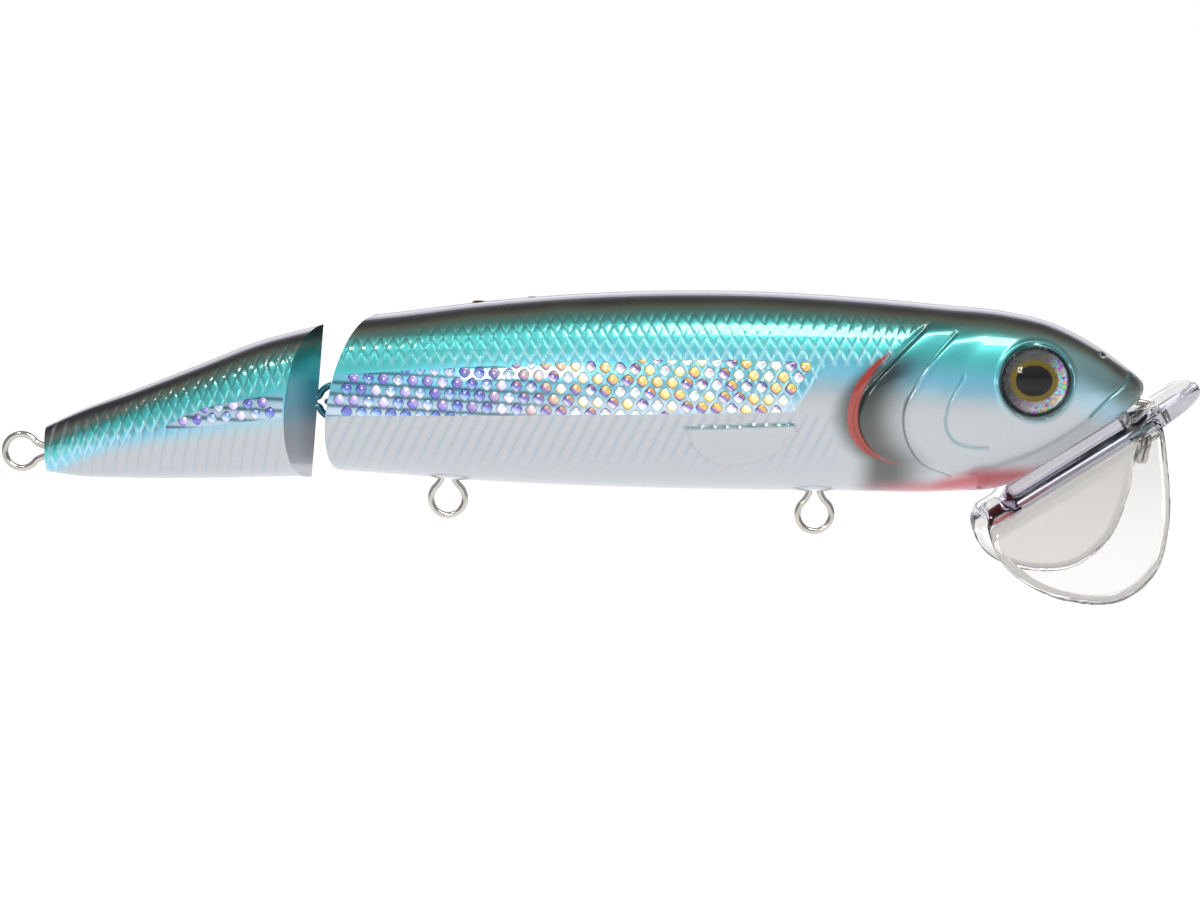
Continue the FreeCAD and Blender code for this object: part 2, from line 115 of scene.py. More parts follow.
# %% Lights
def soft_light(name, place, size, power, colour=(1, 1, 1)):
    """A rectangular soft light that looks at the middle of the lure."""
    lamp = bpy.data.lights.new(name, "AREA")
    lamp.shape = "RECTANGLE"
    lamp.size, lamp.size_y = size
    lamp.energy = power
    lamp.color = colour
    obj = link(bpy.data.objects.new(name, lamp))
    obj.location = target + Vector(place)
    obj.rotation_euler = (target - obj.location).to_track_quat("-Z", "Y").to_euler()
    obj.visible_camera = False
    return obj


soft_light("overhead_light", (0.0, 0.56, 0.48), (1.3, 0.40), 3.2, (0.90, 0.86, 1.0))
soft_light("front_light", (0.20, -0.50, 0.60), (0.46, 0.15), 2.6, (1.0, 0.97, 0.90))
soft_light("window_light", (-0.07, -0.62, 0.14), (0.07, 0.09), 0.5)
soft_light("lip_light", (-0.30, -0.45, 0.54), (0.12, 0.07), 0.7, (1.0, 0.95, 0.85))

print("lights", sorted(lamp.name for lamp in bpy.data.lights))

# %% [markdown]
# ## Shader arithmetic
# A paint scheme is mostly arithmetic on a point's place. Writing it as Python expressions keeps it
# readable, so a small class wraps a node socket and each operator adds the matching Math node.


# %% Socket arithmetic
class Sock:
    """One output socket, with operators that add Math nodes to its tree."""

    def __init__(self, paint, socket):
        self.paint, self.socket = paint, socket

    def _math(self, operation, *values):
        return self.paint.node("ShaderNodeMath", {"operation": operation}, *values)

    def __add__(self, other):
        return self._math("ADD", self, other)

    def __sub__(self, other):
        return self._math("SUBTRACT", self, other)

    def __rsub__(self, other):
        return self._math("SUBTRACT", other, self)

    def __mul__(self, other):
        return self._math("MULTIPLY", self, other)

    def __truediv__(self, other):
        return self._math("DIVIDE", self, other)

    __radd__ = __add__
    __rmul__ = __mul__

    def power(self, other):
        return self._math("POWER", self, other)

    def fraction(self):
        return self._math("FRACT", self)

    def larger(self, other):
        return self._math("MAXIMUM", self, other)

    def smaller(self, other):
        return self._math("MINIMUM", self, other)

    def step(self, start, end):
        """0 before start, 1 after end, smooth between."""
        span = {"interpolation_type": "SMOOTHSTEP"}
        return self.paint.node("ShaderNodeMapRange", span, self, start, end)


class Paint:
    """A material under construction."""

    def __init__(self, name, **constants):
        self.material = bpy.data.materials.new(name)
        self.material.use_nodes = True
        self.tree = self.material.node_tree
        self.shader = self.tree.nodes["Principled BSDF"]
        for key, value in constants.items():
            self.shader.inputs[key.replace("_", " ")].default_value = value
        where = self.tree.nodes.new("ShaderNodeTexCoord").outputs["Object"]
        self.place = Sock(self, where)

    def node(self, kind, settings, *values, output=0):
        """Adds a node: its settings first, then the values or links of its sockets in order."""
        made = self.tree.nodes.new(kind)
        for key, value in settings.items():
            if key == "stops":
                for number, (at, colour) in enumerate(value):
                    ramp = made.color_ramp.elements
                    stop = ramp[number] if number < 2 else ramp.new(at)
                    stop.position, stop.color = at, colour
            else:
                setattr(made, key, value)
        sockets = [s for s in made.inputs if s.enabled]
        for slot, value in zip(sockets, values):
            if isinstance(value, Sock):
                self.tree.links.new(value.socket, slot)
            elif value is not None:
                slot.default_value = value
        enabled = [s for s in made.outputs if s.enabled]
        return Sock(self, enabled[output])

    def xyz(self):
        """The point's x, y and z in millimetres."""
        big = self.node("ShaderNodeVectorMath", {"operation": "SCALE"}, self.place, 1 / MM)
        parts = self.tree.nodes.new("ShaderNodeSeparateXYZ")
        self.tree.links.new(big.socket, parts.inputs[0])
        return [Sock(self, out) for out in parts.outputs]

    def attribute(self, name):
        """A number stored on the mesh's points."""
        made = self.tree.nodes.new("ShaderNodeAttribute")
        made.attribute_name = name
        return Sock(self, made.outputs["Fac"])

    def mix(self, factor, first, second):
        """Blends two colours."""
        return self.node("ShaderNodeMix", {"data_type": "RGBA"}, factor, first, second)

    def noise(self, scale, detail=2.0):
        """Soft clouds, 0 to 1."""
        settings = {"noise_dimensions": "3D"}
        return self.node("ShaderNodeTexNoise", settings, self.place, scale, detail)

    def cells(self, scale):
        """Small cells with a random colour each."""
        return self.node("ShaderNodeTexVoronoi", {"feature": "F1"}, self.place, scale, output=1)

    def feed(self, **links):
        """Links results to the shader's own sockets."""
        for key, value in links.items():
            self.tree.links.new(value.socket, self.shader.inputs[key.replace("_", " ")])

    def let_light_through(self):
        """Clear pieces cast no shadow, so that what lies under them is lit."""
        rays = self.tree.nodes.new("ShaderNodeLightPath")
        unseen = self.tree.nodes.new("ShaderNodeBsdfTransparent")
        both = self.tree.nodes.new("ShaderNodeMixShader")
        self.tree.links.new(rays.outputs["Is Shadow Ray"], both.inputs[0])
        self.tree.links.new(self.shader.outputs[0], both.inputs[1])
        self.tree.links.new(unseen.outputs[0], both.inputs[2])
        self.tree.links.new(both.outputs[0], self.tree.nodes["Material Output"].inputs["Surface"])

    def bump(self, height, distance, strength=1.0):
        """Height in millimetres of relief when distance is 0.001."""
        made = self.tree.nodes.new("ShaderNodeBump")
        made.inputs["Strength"].default_value = strength
        made.inputs["Distance"].default_value = distance
        self.tree.links.new(height.socket, made.inputs["Height"])
        self.tree.links.new(made.outputs[0], self.shader.inputs["Normal"])


def srgb(r, g, b):
    """A colour picked on a screen, 0 to 255, as the linear values that nodes use."""
    def linear(value):
        value /= 255
        return value / 12.92 if value <= 0.04045 else ((value + 0.055) / 1.055) ** 2.4
    return (linear(r), linear(g), linear(b), 1.0)


# %% [markdown]
# ## World and floor
# Gloss shows what surrounds it, so the surroundings are part of the finish. The world is a band of
# greys that turns over the lure from the viewer to the far side. Its dark strip overhead draws the
# back's dark edge, and its light far side fills the clear lip. The floor glows a little, like a lit
# white table, so it stays white without a light that would bleach the belly.

# %% World
world = bpy.data.worlds.new("studio")
world.use_nodes = True
bpy.context.scene.world = world
bpy.context.scene.view_settings.view_transform = "Standard"
sky = world.node_tree


def sky_math(operation, *values):
    """One Math node in the world's tree, fed by sockets or numbers."""
    made = sky.nodes.new("ShaderNodeMath")
    made.operation = operation
    for slot, value in zip(made.inputs, values):
        if isinstance(value, bpy.types.NodeSocket):
            sky.links.new(value, slot)
        else:
            slot.default_value = value
    return made.outputs[0]


split = sky.nodes.new("ShaderNodeSeparateXYZ")
sky.links.new(sky.nodes.new("ShaderNodeTexCoord").outputs["Generated"], split.inputs[0])
# The turn over the lure: 0 level towards the viewer, 0.5 straight up, 1 level behind.
turn = sky_math("ARCTAN2", split.outputs["Z"], sky_math("MULTIPLY", split.outputs["Y"], -1.0))
share = sky_math("DIVIDE", sky_math("ABSOLUTE", turn), math.pi)
ramp = sky.nodes.new("ShaderNodeValToRGB")
sky.links.new(share, ramp.inputs[0])
sky.links.new(ramp.outputs[0], sky.nodes["Background"].inputs[0])
SKY_ENDS = ((0.0, 0.36), (0.95, 1.0))
SKY_BETWEEN = ((0.14, 0.36), (0.20, 0.46), (0.40, 0.42), (0.45, 0.20), (0.60, 0.20), (0.66, 0.34),
               (0.85, 0.60))
BLUER = 1.04
stops = ramp.color_ramp.elements
for stop, (place, grey) in zip(stops, SKY_ENDS):
    stop.position, stop.color = place, (grey, grey, grey, 1)
for place, grey in SKY_BETWEEN:
    stops.new(place).color = (grey, grey, grey * BLUER, 1)
print("world greys", len(stops))

# %% Floor material
floor_paint = Paint("floor_paint", Roughness=0.9, Emission_Strength=0.80)
floor_paint.shader.inputs["Emission Color"].default_value = (1, 1, 1, 1)
grain = floor_paint.noise(30.0)
floor_paint.feed(Base_Color=floor_paint.mix(grain, (0.62, 0.62, 0.62, 1), (0.66, 0.66, 0.66, 1)))
floor.data.materials.append(floor_paint.material)

# %% [markdown]
# ## The hull's shape
# A fish body is a row of rounded sections, so it is made by formula: three smooth curves give the
# height of the back, the height of the belly and the half width at any x. A dense grid laid over that
# surface is then pushed in and out for the gill plates, the mouth, the fin and the scale lines, which
# is how the steel mould of the real lure is cut.

# %% Hull curves
# Stations: x, back, belly, half width, in millimetres. They are the hull's driving sizes.
BODY_STATIONS = np.array([
    (-138.0, 16.6, -8.1, 8.2), (-125.0, 17.95, -9.05, 9.1), (-108.0, 20.0, -10.3, 9.8),
    (-88.0, 21.4, -11.2, 10.3), (-68.0, 21.6, -11.65, 10.4), (-48.0, 20.6, -11.85, 10.3),
    (-33.0, 19.25, -11.9, 10.0), (-23.0, 18.2, -11.0, 9.3), (-15.0, 16.2, -8.2, 8.1),
    (-8.0, 12.6, -3.4, 6.3), (-3.4, 9.35, 0.4, 4.4), (-0.9, 7.4, 3.0, 2.7), (-0.1, 6.6, 4.2, 1.6)])
TAIL_STATIONS = np.array([
    (-135.0, 16.3, -9.3, 8.3), (-147.0, 13.2, -9.6, 7.6), (-157.0, 9.3, -9.75, 6.5),
    (-168.0, 5.0, -9.7, 4.9), (-177.0, 1.6, -9.35, 3.3), (-182.4, -0.9, -8.6, 2.3)])
SECTION_FULL = 0.86                     # below 1 the flank is fuller than an ellipse
LIP_RISE = math.radians(32.0)           # how steeply the chin and the lip's root climb forward
CHIN_TOP = -3.3                         # the chin's flat, measured down the lip's normal
SLOPE = math.tan(math.radians(30.0))    # each side of a hinge face falls away at 30 degrees


def smooth_curve(xs, ys):
    """A smooth curve through points, as a function."""
    order = np.argsort(xs)
    xs, ys = np.asarray(xs, float)[order], np.asarray(ys, float)[order]
    slopes = np.gradient(ys, xs)

    def at(x):
        x = np.clip(x, xs[0], xs[-1])
        i = np.clip(np.searchsorted(xs, x) - 1, 0, len(xs) - 2)
        span = xs[i + 1] - xs[i]
        t = (x - xs[i]) / span
        return ((2 * t ** 3 - 3 * t ** 2 + 1) * ys[i] + (t ** 3 - 2 * t ** 2 + t) * span * slopes[i]
                + (3 * t ** 2 - 2 * t ** 3) * ys[i + 1] + (t ** 3 - t ** 2) * span * slopes[i + 1])
    return at


def hull(stations):
    """The surface of a hull: x and turn (0 at the back, pi at the belly) to y and z."""
    back, belly, wide = [smooth_curve(stations[:, 0], stations[:, k]) for k in (1, 2, 3)]

    def surface(x, turn):
        mid, tall = (back(x) + belly(x)) / 2, (back(x) - belly(x)) / 2
        return wide(x) * np.sin(turn).clip(0) ** SECTION_FULL, mid + tall * np.cos(turn)

    def half_width(x, z):
        """The y of the surface at a side-view point."""
        mid, tall = (back(x) + belly(x)) / 2, (back(x) - belly(x)) / 2
        return wide(x) * np.sin(np.arccos(np.clip((z - mid) / tall, -1, 1))) ** SECTION_FULL
    surface.back, surface.belly, surface.half_width = back, belly, half_width
    return surface


body_hull, tail_hull = hull(BODY_STATIONS), hull(TAIL_STATIONS)
print("hull", BODY_STATIONS[-1, 0] - TAIL_STATIONS[-1, 0], "mm long without its eyes")


# %% Lines and distances
def ramped(value, start, end):
    """Smooth step for arrays."""
    t = np.clip((value - start) / (end - start), 0, 1)
    return t * t * (3 - 2 * t)


def stroke(points, samples=240):
    """A smooth open line through (x, z) points, as many close samples."""
    points = np.array(points, float)
    along = np.concatenate([[0], np.cumsum(np.linalg.norm(np.diff(points, axis=0), axis=1))])
    steps = np.linspace(0, along[-1], samples)
    return np.stack([smooth_curve(along, points[:, k])(steps) for k in (0, 1)], 1)


def distance_to(line, x, z):
    """Distance of each (x, z) to a sampled line."""
    best = np.full(x.shape, 1e9)
    for px, pz in line:
        best = np.minimum(best, (x - px) ** 2 + (z - pz) ** 2)
    return np.sqrt(best)


def ahead_of(line, x, z):
    """How far forward of a line that runs from its top to its bottom, at the same height."""
    order = np.argsort(line[:, 1])
    return x - np.interp(z, line[order, 1], line[order, 0])


def inside(outline, x, z):
    """1 inside a closed outline of (x, z) points."""
    result = np.zeros(x.shape, bool)
    points = list(outline)
    for (ax, az), (bx, bz) in zip(points, points[1:] + points[:1]):
        crosses = ((az > z) != (bz > z)) & (x < (bx - ax) * (z - az) / (bz - az + 1e-12) + ax)
        result ^= crosses
    return result


# %% [markdown]
# ## What the mould cuts into the body
# Every line is given once, in side view, and used twice: its distance shapes the surface, and the
# same distance is stored as an attribute that the paint reads, so its colour always sits in its groove.

# %% Lines of the head, in side view
GILL_EDGE = stroke([(-35.9, 16.4), (-42.4, 10.2), (-47.7, 3.4), (-48.1, 0.6), (-47.0, -2.6), (-43.8, -6.0)])
CRESCENT_OUT = stroke([(-42.4, 12.2), (-45.05, 10.6), (-47.3, 8.3), (-49.2, 5.4), (-49.9, 2.0),
                       (-49.65, -1.1), (-48.1, -3.6), (-45.7, -5.3), (-43.2, -6.1), (-40.4, -6.9)], 120)
CRESCENT_IN = stroke([(-42.4, 12.2), (-45.7, 8.57), (-47.3, 5.74), (-48.2, 2.0), (-47.6, -1.7),
                      (-44.5, -5.1), (-40.4, -6.9)], 120)
GILL_PLATE = stroke([(-32.0, 14.8), (-37.5, 8.7), (-40.8, 2.4), (-40.8, -0.4), (-37.8, -6.2), (-32.6, -8.6)])
CHEEK = stroke([(-31.0, 8.0), (-33.5, 3.2), (-33.8, -0.5), (-32.5, -2.7), (-29.9, -3.7), (-26.8, -3.9)])
MOUTH = stroke([(-9.6, 1.1), (-6.6, 4.0), (-4.1, 6.0), (-2.6, 7.8)])
FIN = [(-76.4, -0.5), (-58.6, 0.1), (-58.0, -1.8), (-59.8, -2.2), (-60.4, -4.0), (-61.9, -4.9),
       (-65.2, -6.1), (-68.6, -6.6), (-70.7, -6.6), (-72.5, -5.7), (-74.6, -4.0)]
EYE_LOW, EYE_HIGH = node_box("eye_lens_right")
EYE = (EYE_LOW + EYE_HIGH) / 2
EYE_RADIUS = (EYE_HIGH[0] - EYE_LOW[0]) / 2
EYE_SEAT = node_box("eye_disc_left")[0][1]
NOSTRIL = (-7.3, 11.1)
RIB_PITCH, TAIL_PITCH = 2.05, 1.92
RIB_LEAN, TAIL_LEAN = 0.5, 0.22     # sideways per unit of height
RIB_WIDE = 0.42                     # from a rib's middle to its foot
FAR = 60.0                          # stands for "nowhere near the gill"


# %% Relief of the two sections
def groove(distance, width):
    """1 at the middle of a groove and 0 outside its width."""
    return 1 - ramped(distance, 0.0, width)


def rib_lines(x, z, pitch, lean):
    """1 on slanted lines that repeat along the flank."""
    phase = (x - lean * z) / pitch
    return groove(np.abs((phase + 0.5) % 1 - 0.5) * pitch, RIB_WIDE)


def scale_lines(x, z, pitch):
    """1 on the two crossing sets of lines that draw the scales."""
    return np.maximum(rib_lines(x, z, pitch, RIB_LEAN), rib_lines(x, z, pitch, -RIB_LEAN))


def gill_relief(x, z):
    """The gill edge and the plate ahead of it stand proud, each with a groove behind it."""
    gill, plate = ahead_of(GILL_EDGE, x, z), ahead_of(GILL_PLATE, x, z)
    gill_zone = ramped(z, -7.0, -4.5) * (1 - ramped(z, 14.5, 17.0))
    plate_zone = ramped(z, -9.5, -8.0) * (1 - ramped(z, 13.0, 15.5))
    outline = np.concatenate([CRESCENT_OUT, CRESCENT_IN[::-1]])
    crescent_edge = distance_to(outline, x, z) * np.where(inside(outline, x, z), 1, -1)
    plate_line = distance_to(GILL_PLATE, x, z)
    height = 0.45 * ramped(gill, -0.25, 0.25) * (1 - ramped(gill, 0.6, 7.0)) * gill_zone
    height -= 0.35 * groove(np.abs(gill + 0.55), 0.9) * gill_zone
    height += 0.30 * ramped(plate, -0.2, 0.2) * (1 - ramped(plate, 0.5, 6.0)) * plate_zone
    height -= 0.16 * groove(plate_line, 0.38)
    masks = {"crescent": ramped(crescent_edge, -0.12, 0.12),
             "gill_ink": groove(distance_to(GILL_EDGE, x, z), 0.55) * gill_zone,
             "plate_ink": groove(plate_line, 0.28),
             "behind_gill": np.clip(-gill, 0, FAR), "before_gill": np.clip(gill, 0, FAR)}
    return height, masks


def face_relief(x, z):
    """The cheek line, the mouth and the nostril are cut in."""
    cheek, mouth = distance_to(CHEEK, x, z), distance_to(MOUTH, x, z)
    nostril = np.hypot((x - NOSTRIL[0]) / 1.3, z - NOSTRIL[1])
    height = -0.12 * groove(cheek, 0.45) - 0.32 * groove(mouth, 0.42) - 0.35 * groove(nostril, 0.55)
    return height, {"cheek_ink": groove(cheek, 0.5), "mouth_ink": groove(mouth, 0.35),
                    "nostril": groove(nostril, 0.6)}


def fin_relief(x, z):
    """The breast fin is a low step with fine rays."""
    edge = distance_to(stroke(FIN + FIN[:1], 500), x, z)
    on_fin = inside(FIN, x, z)
    height = 0.22 * np.where(on_fin, ramped(edge, 0.0, 0.35), 0)
    rays = groove(np.abs((z * 1.9 + 0.02 * x) % 1 - 0.5), 0.35)
    height -= 0.05 * rays * np.where(on_fin, ramped(edge, 0.3, 0.8), 0)
    top_line = distance_to(stroke(FIN[:2], 60), x, z)
    return height, {"fin_top": groove(top_line, 0.4), "fin_edge": groove(edge, 0.3)}, on_fin


def body_relief(x, z, below):
    """Height of the surface over the plain hull, and the masks that the paint needs."""
    height, masks = gill_relief(x, z)
    face_height, face_masks = face_relief(x, z)
    fin_height, fin_masks, on_fin = fin_relief(x, z)
    behind_head = 1 - ramped(x, -53.5, -49.5)
    belly = (1 - ramped(z, 1.0, 2.4)) * ramped(z, -9.5, -3.0)
    ribs = rib_lines(x, z, RIB_PITCH, RIB_LEAN) * belly * behind_head * np.where(on_fin, 0.0, 1.0)
    behind_gill = 1 - ramped(ahead_of(GILL_EDGE, x, z), -2.2, -0.6)
    flank = ramped(below, 1.8, 4.0) * ramped(z, 9.2, 10.6) * behind_gill
    scales = scale_lines(x, z, RIB_PITCH) * flank
    height = height + face_height + fin_height - 0.16 * ribs - 0.045 * scales
    return height, {**masks, **face_masks, **fin_masks, "ribs": ribs, "scales": scales,
                    "below_back": below}


def tail_relief(x, z, below):
    """The tail carries ribs below and scale lines above, and no other detail."""
    belly = (1 - ramped(z, -1.5, 0.5)) * ramped(z, -9.5, -7.5)
    ribs = rib_lines(x, z, TAIL_PITCH, TAIL_LEAN) * belly * (1 - ramped(x, -143.5, -141.0))
    flank = ramped(below, 1.2, 2.6) * (1 - ramped(below, 7.0, 9.0))
    scales = scale_lines(x, z, TAIL_PITCH) * flank
    # The colours below the dark back crowd together as the tail grows slimmer.
    tall = tail_hull.back(x) - tail_hull.belly(x)
    crowd = np.clip((25.0 / tall) ** 1.3, 1.0, 2.2)
    dark = 3.0
    masks = {"ribs": 0.55 * ribs, "scales": scales, "behind_gill": np.full(x.shape, FAR),
             "below_back": np.minimum(below, dark) + np.maximum(below - dark, 0) * crowd}
    for name in ("crescent", "gill_ink", "plate_ink", "cheek_ink", "mouth_ink", "nostril",
                 "fin_top", "fin_edge", "before_gill"):
        masks[name] = np.zeros(x.shape)
    return -0.09 * ribs - 0.07 * scales, masks


# %% [markdown]
# ## Building one half shell
# The halves of the real shell are moulded apart and glued on the middle plane. Each half here is one
# closed mesh: the dense outer grid, the slanted end face of the hinge, and the flat joint face.

# %% Half shell builder
def mesh_object(name, verts, faces, smooth=True):
    """Verts are in millimetres."""
    mesh = bpy.data.meshes.new(name)
    mesh.from_pydata((np.asarray(verts) * MM).tolist(), [], faces)
    mesh.update()
    if smooth:
        mesh.polygons.foreach_set("use_smooth", np.ones(len(mesh.polygons), bool))
    return link(bpy.data.objects.new(name, mesh))


def grid_faces(columns, rows, flip=False):
    """The four-sided faces of a grid of points, listed column by column."""
    faces = []
    for i in range(columns - 1):
        for j in range(rows - 1):
            a, b = i * rows + j, (i + 1) * rows + j
            quad = (a, b, b + 1, a + 1)
            faces.append(quad[::-1] if flip else quad)
    return faces


def close_and_face_out(obj):
    """Merges doubles, fills any open border and turns every face outwards."""
    made = bmesh.new()
    made.from_mesh(obj.data)
    bmesh.ops.remove_doubles(made, verts=made.verts, dist=0.00001)
    border = [edge for edge in made.edges if edge.is_boundary]
    if border:
        bmesh.ops.holes_fill(made, edges=border, sides=0)
    bmesh.ops.recalc_face_normals(made, faces=made.faces)
    if made.calc_volume(signed=True) < 0:
        bmesh.ops.reverse_faces(made, faces=made.faces)
    made.to_mesh(obj.data)
    made.free()
    return obj


def plate(name, skins):
    """A closed plate between two grids of points of the same shape."""
    long, wide = skins[0].shape[:2]
    count = long * wide
    first = grid_faces(long, wide)
    second = [tuple(v + count for v in face[::-1]) for face in first]
    border = ([i * wide for i in range(long)] + [(long - 1) * wide + j for j in range(1, wide)]
              + [i * wide + wide - 1 for i in range(long - 2, -1, -1)] + list(range(wide - 2, 0, -1)))
    wall = [(p, q, q + count, p + count) for p, q in zip(border, border[1:] + border[:1])]
    points = np.concatenate([skin.reshape(-1, 3) for skin in skins])
    return close_and_face_out(mesh_object(name, points, first + second + wall))


def store(obj, masks):
    """Keeps one number for each of the mesh's points under each mask's name."""
    for key, values in masks.items():
        layer = obj.data.attributes.new(key, "FLOAT", "POINT")
        layer.data.foreach_set("value", np.asarray(values).reshape(-1).astype(np.float32))


def finish(piece, body, slot, paint_used, *nodes):
    """What every finished piece needs: its material, its body and the nodes it stands for. The slot is not
    used.
    """
    piece.data.materials.clear()
    piece.data.materials.append(paint_used.material)
    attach(piece, body)
    if nodes:
        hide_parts(*nodes)
    print(piece.name, len(piece.data.polygons), "faces")
    return piece


# %% Half shell
def half_shell(name, side, surface, columns_x, rows, relief, end_x):
    """side is -1 on the right. end_x gives the x of the hinge face at a point's y and z."""
    is_body = surface is body_hull
    turn = np.linspace(0, math.pi, rows)
    # More rows where the flank stands upright than on the flat of the back and belly.
    turn = turn - 0.10 * np.sin(2 * turn)
    t = np.broadcast_to(turn, (len(columns_x), rows)).copy()
    x = np.broadcast_to(columns_x[:, None], t.shape).copy()
    # The rows near the hinge are drawn on to its slanted face.
    hinge, far = columns_x[0], columns_x[-1]
    share = 1 - ramped(np.abs(x - hinge) / abs(far - hinge), 0.0, 0.22)
    for _ in range(6):
        y, z = surface(x, t)
        x = columns_x[:, None] + share * (end_x(y, z) - hinge)
    y, z = surface(x, t)
    if is_body:
        chin = (x * math.sin(LIP_RISE) - CHIN_TOP) / math.cos(LIP_RISE)
        z = np.maximum(z, chin)
    below = surface.back(x) - z
    height, masks = relief(x, z, below)
    points = np.stack([x, y, z], -1)
    du, dv = np.gradient(points, axis=0), np.gradient(points, axis=1)
    normal = np.cross(du, dv)
    length = np.linalg.norm(normal, axis=-1, keepdims=True)
    normal = normal / np.where(length > 1e-9, length, 1)
    normal *= np.where(normal[..., 1:2] < 0, -1, 1)
    # The relief fades to nothing at the joint line, where the two halves must meet.
    height = height * ramped(y, 0.0, 0.8)
    points = points + normal * height[..., None]
    if is_body:
        spot = np.hypot(x - EYE[0], z - EYE[2])
        ring = 0.22 * groove(np.abs(spot - EYE_RADIUS - 0.75), 0.55)
        sunk = 1 - ramped(spot, EYE_RADIUS + 0.06, EYE_RADIUS + 0.5)
        points[..., 1] = (points[..., 1] + ring) * (1 - sunk) + EYE_SEAT * sunk
        masks["eye_rim"] = groove(np.abs(spot - EYE_RADIUS - 0.55), 0.9)
    else:
        masks["eye_rim"] = np.zeros(x.shape)
    points[:, 0, 1] = points[:, -1, 1] = 0
    points[..., 1] *= side
    flat = points.reshape(-1, 3)
    obj = mesh_object(name, flat, grid_faces(len(columns_x), rows, side > 0))
    store(obj, masks)
    return obj


def hinge_face(top, bottom):
    """The slanted face of one side of the hinge, as the x at y and z. Its ridge runs top to bottom."""
    def at(y, z):
        ridge = bottom[0] + (z - bottom[1]) * (top[0] - bottom[0]) / (top[1] - bottom[1])
        return ridge - SLOPE * y
    return at


body_hinge = hinge_face((-127.0, 17.67), (-132.35, -8.4))
tail_hinge = hinge_face((-136.1, 16.2), (-138.3, -9.2))
CREASE = math.radians(55)


def end_faces(obj, rows, columns):
    """Closes a half shell: the hinge face, the blunt far end and the joint face."""
    made = bmesh.new()
    made.from_mesh(obj.data)
    made.verts.ensure_lookup_table()
    made.faces.new([made.verts[j] for j in range(rows)])
    made.faces.new([made.verts[(columns - 1) * rows + j] for j in range(rows)])
    top_line = [made.verts[i * rows] for i in range(columns)]
    low_line = [made.verts[i * rows + rows - 1] for i in range(columns)]
    made.faces.new(top_line + low_line[::-1])
    bmesh.ops.recalc_face_normals(made, faces=made.faces)
    made.to_mesh(obj.data)
    made.free()
    for face in obj.data.polygons:
        if len(face.vertices) > 4:
            face.use_smooth = False
    obj.data.set_sharp_from_angle(angle=CREASE)


# %% [markdown]
# ## The fish paint
# A real lure is sprayed in soft bands over a pearl base, then masked and inked, then dipped in clear
# coat. The paint here follows the same order. Each band starts at a depth below the back, so it
# follows the hull's curve, and a little noise makes its edge wander like a spray. The teal ink, and a
# darker colour along the gill edge, the plate's groove and in the nostril, read the grooves' own
# attributes. A clear coat over metallic flake gives the wet look.

# %% Fish paint
paint = Paint("fish_paint", Coat_Weight=1.0, Coat_Roughness=0.03, Coat_IOR=1.5)
x, y, z = paint.xyz()
below = paint.attribute("below_back")
behind = paint.attribute("behind_gill")
ahead = paint.attribute("before_gill")
flake = paint.cells(9000.0)
speck = paint.node("ShaderNodeSeparateColor", {}, flake)
cloud = paint.noise(90.0, 3.0)

BLACK = srgb(24, 26, 27)
BROWN = srgb(74, 76, 62)
TEAL_DEEP = srgb(38, 118, 112)
TEAL = srgb(72, 184, 186)
SKY = srgb(110, 186, 212)
PEARL = srgb(168, 173, 177)
NOSE_GREY = srgb(112, 136, 140)
NOSE_SKY = srgb(150, 188, 205)
NOSE_TIP = srgb(60, 64, 62)
RED = srgb(146, 32, 18)
THROAT = srgb(160, 50, 66)
SMOKE = srgb(42, 42, 35)
GILL_SHADE = srgb(14, 40, 38)
# The first colour is a near-black laid along the gill edge, the plate's groove and in the nostril; the
# second is the teal ink.
GROOVE_DARK, TEAL_INK = srgb(14, 52, 50), srgb(20, 118, 124)
SCALE_DARK, SCALE_LIGHT = srgb(26, 84, 84), srgb(190, 226, 240)
RIB_SHADE, FIN_SHADE = srgb(140, 156, 170), srgb(150, 130, 125)

wander = (cloud - 0.5) * 0.9
depth = below + wander
to_teal = depth.step(2.0, 4.4)
to_bright = depth.step(3.4, 6.4)
at_nose = x.step(-25.0, -12.0)
pale = depth + at_nose * 2.5
to_sky = pale.step(8.0, 12.0)
to_pearl = pale.step(11.0, 17.5)
colour = paint.mix(depth.step(1.2, 2.6), BLACK, BROWN)
colour = paint.mix(to_teal, colour, TEAL_DEEP)
colour = paint.mix(to_bright, colour, TEAL)
colour = paint.mix(at_nose * to_teal * 0.85, colour, NOSE_GREY)
colour = paint.mix(to_sky, colour, paint.mix(at_nose, SKY, NOSE_SKY))
colour = paint.mix(to_pearl, colour, PEARL)
at_tip = x.step(-8.0, -2.0) * z.step(2.0, 5.0)
colour = paint.mix(at_tip * 0.6, colour, NOSE_TIP)
smoke = (1 - behind.step(0.5, 5.5)) * (1 - ahead.step(1.0, 9.5)) * (1 - z.step(8.0, 13.0))
colour = paint.mix(smoke * 0.88, colour, SMOKE)
deep_smoke = smoke * (1 - ahead.step(0.5, 5.0)) * z.step(-4.0, 3.0)
colour = paint.mix(deep_smoke * 0.75, colour, GILL_SHADE)
climb = (x + 36.0).smaller(8.0).larger(0.0) * 0.30     # the red rises with the chin
throat = (1 - (z - climb).step(-11.4, -8.6)) * x.step(-52.0, -34.0)
colour = paint.mix(throat * 0.95, colour, THROAT)
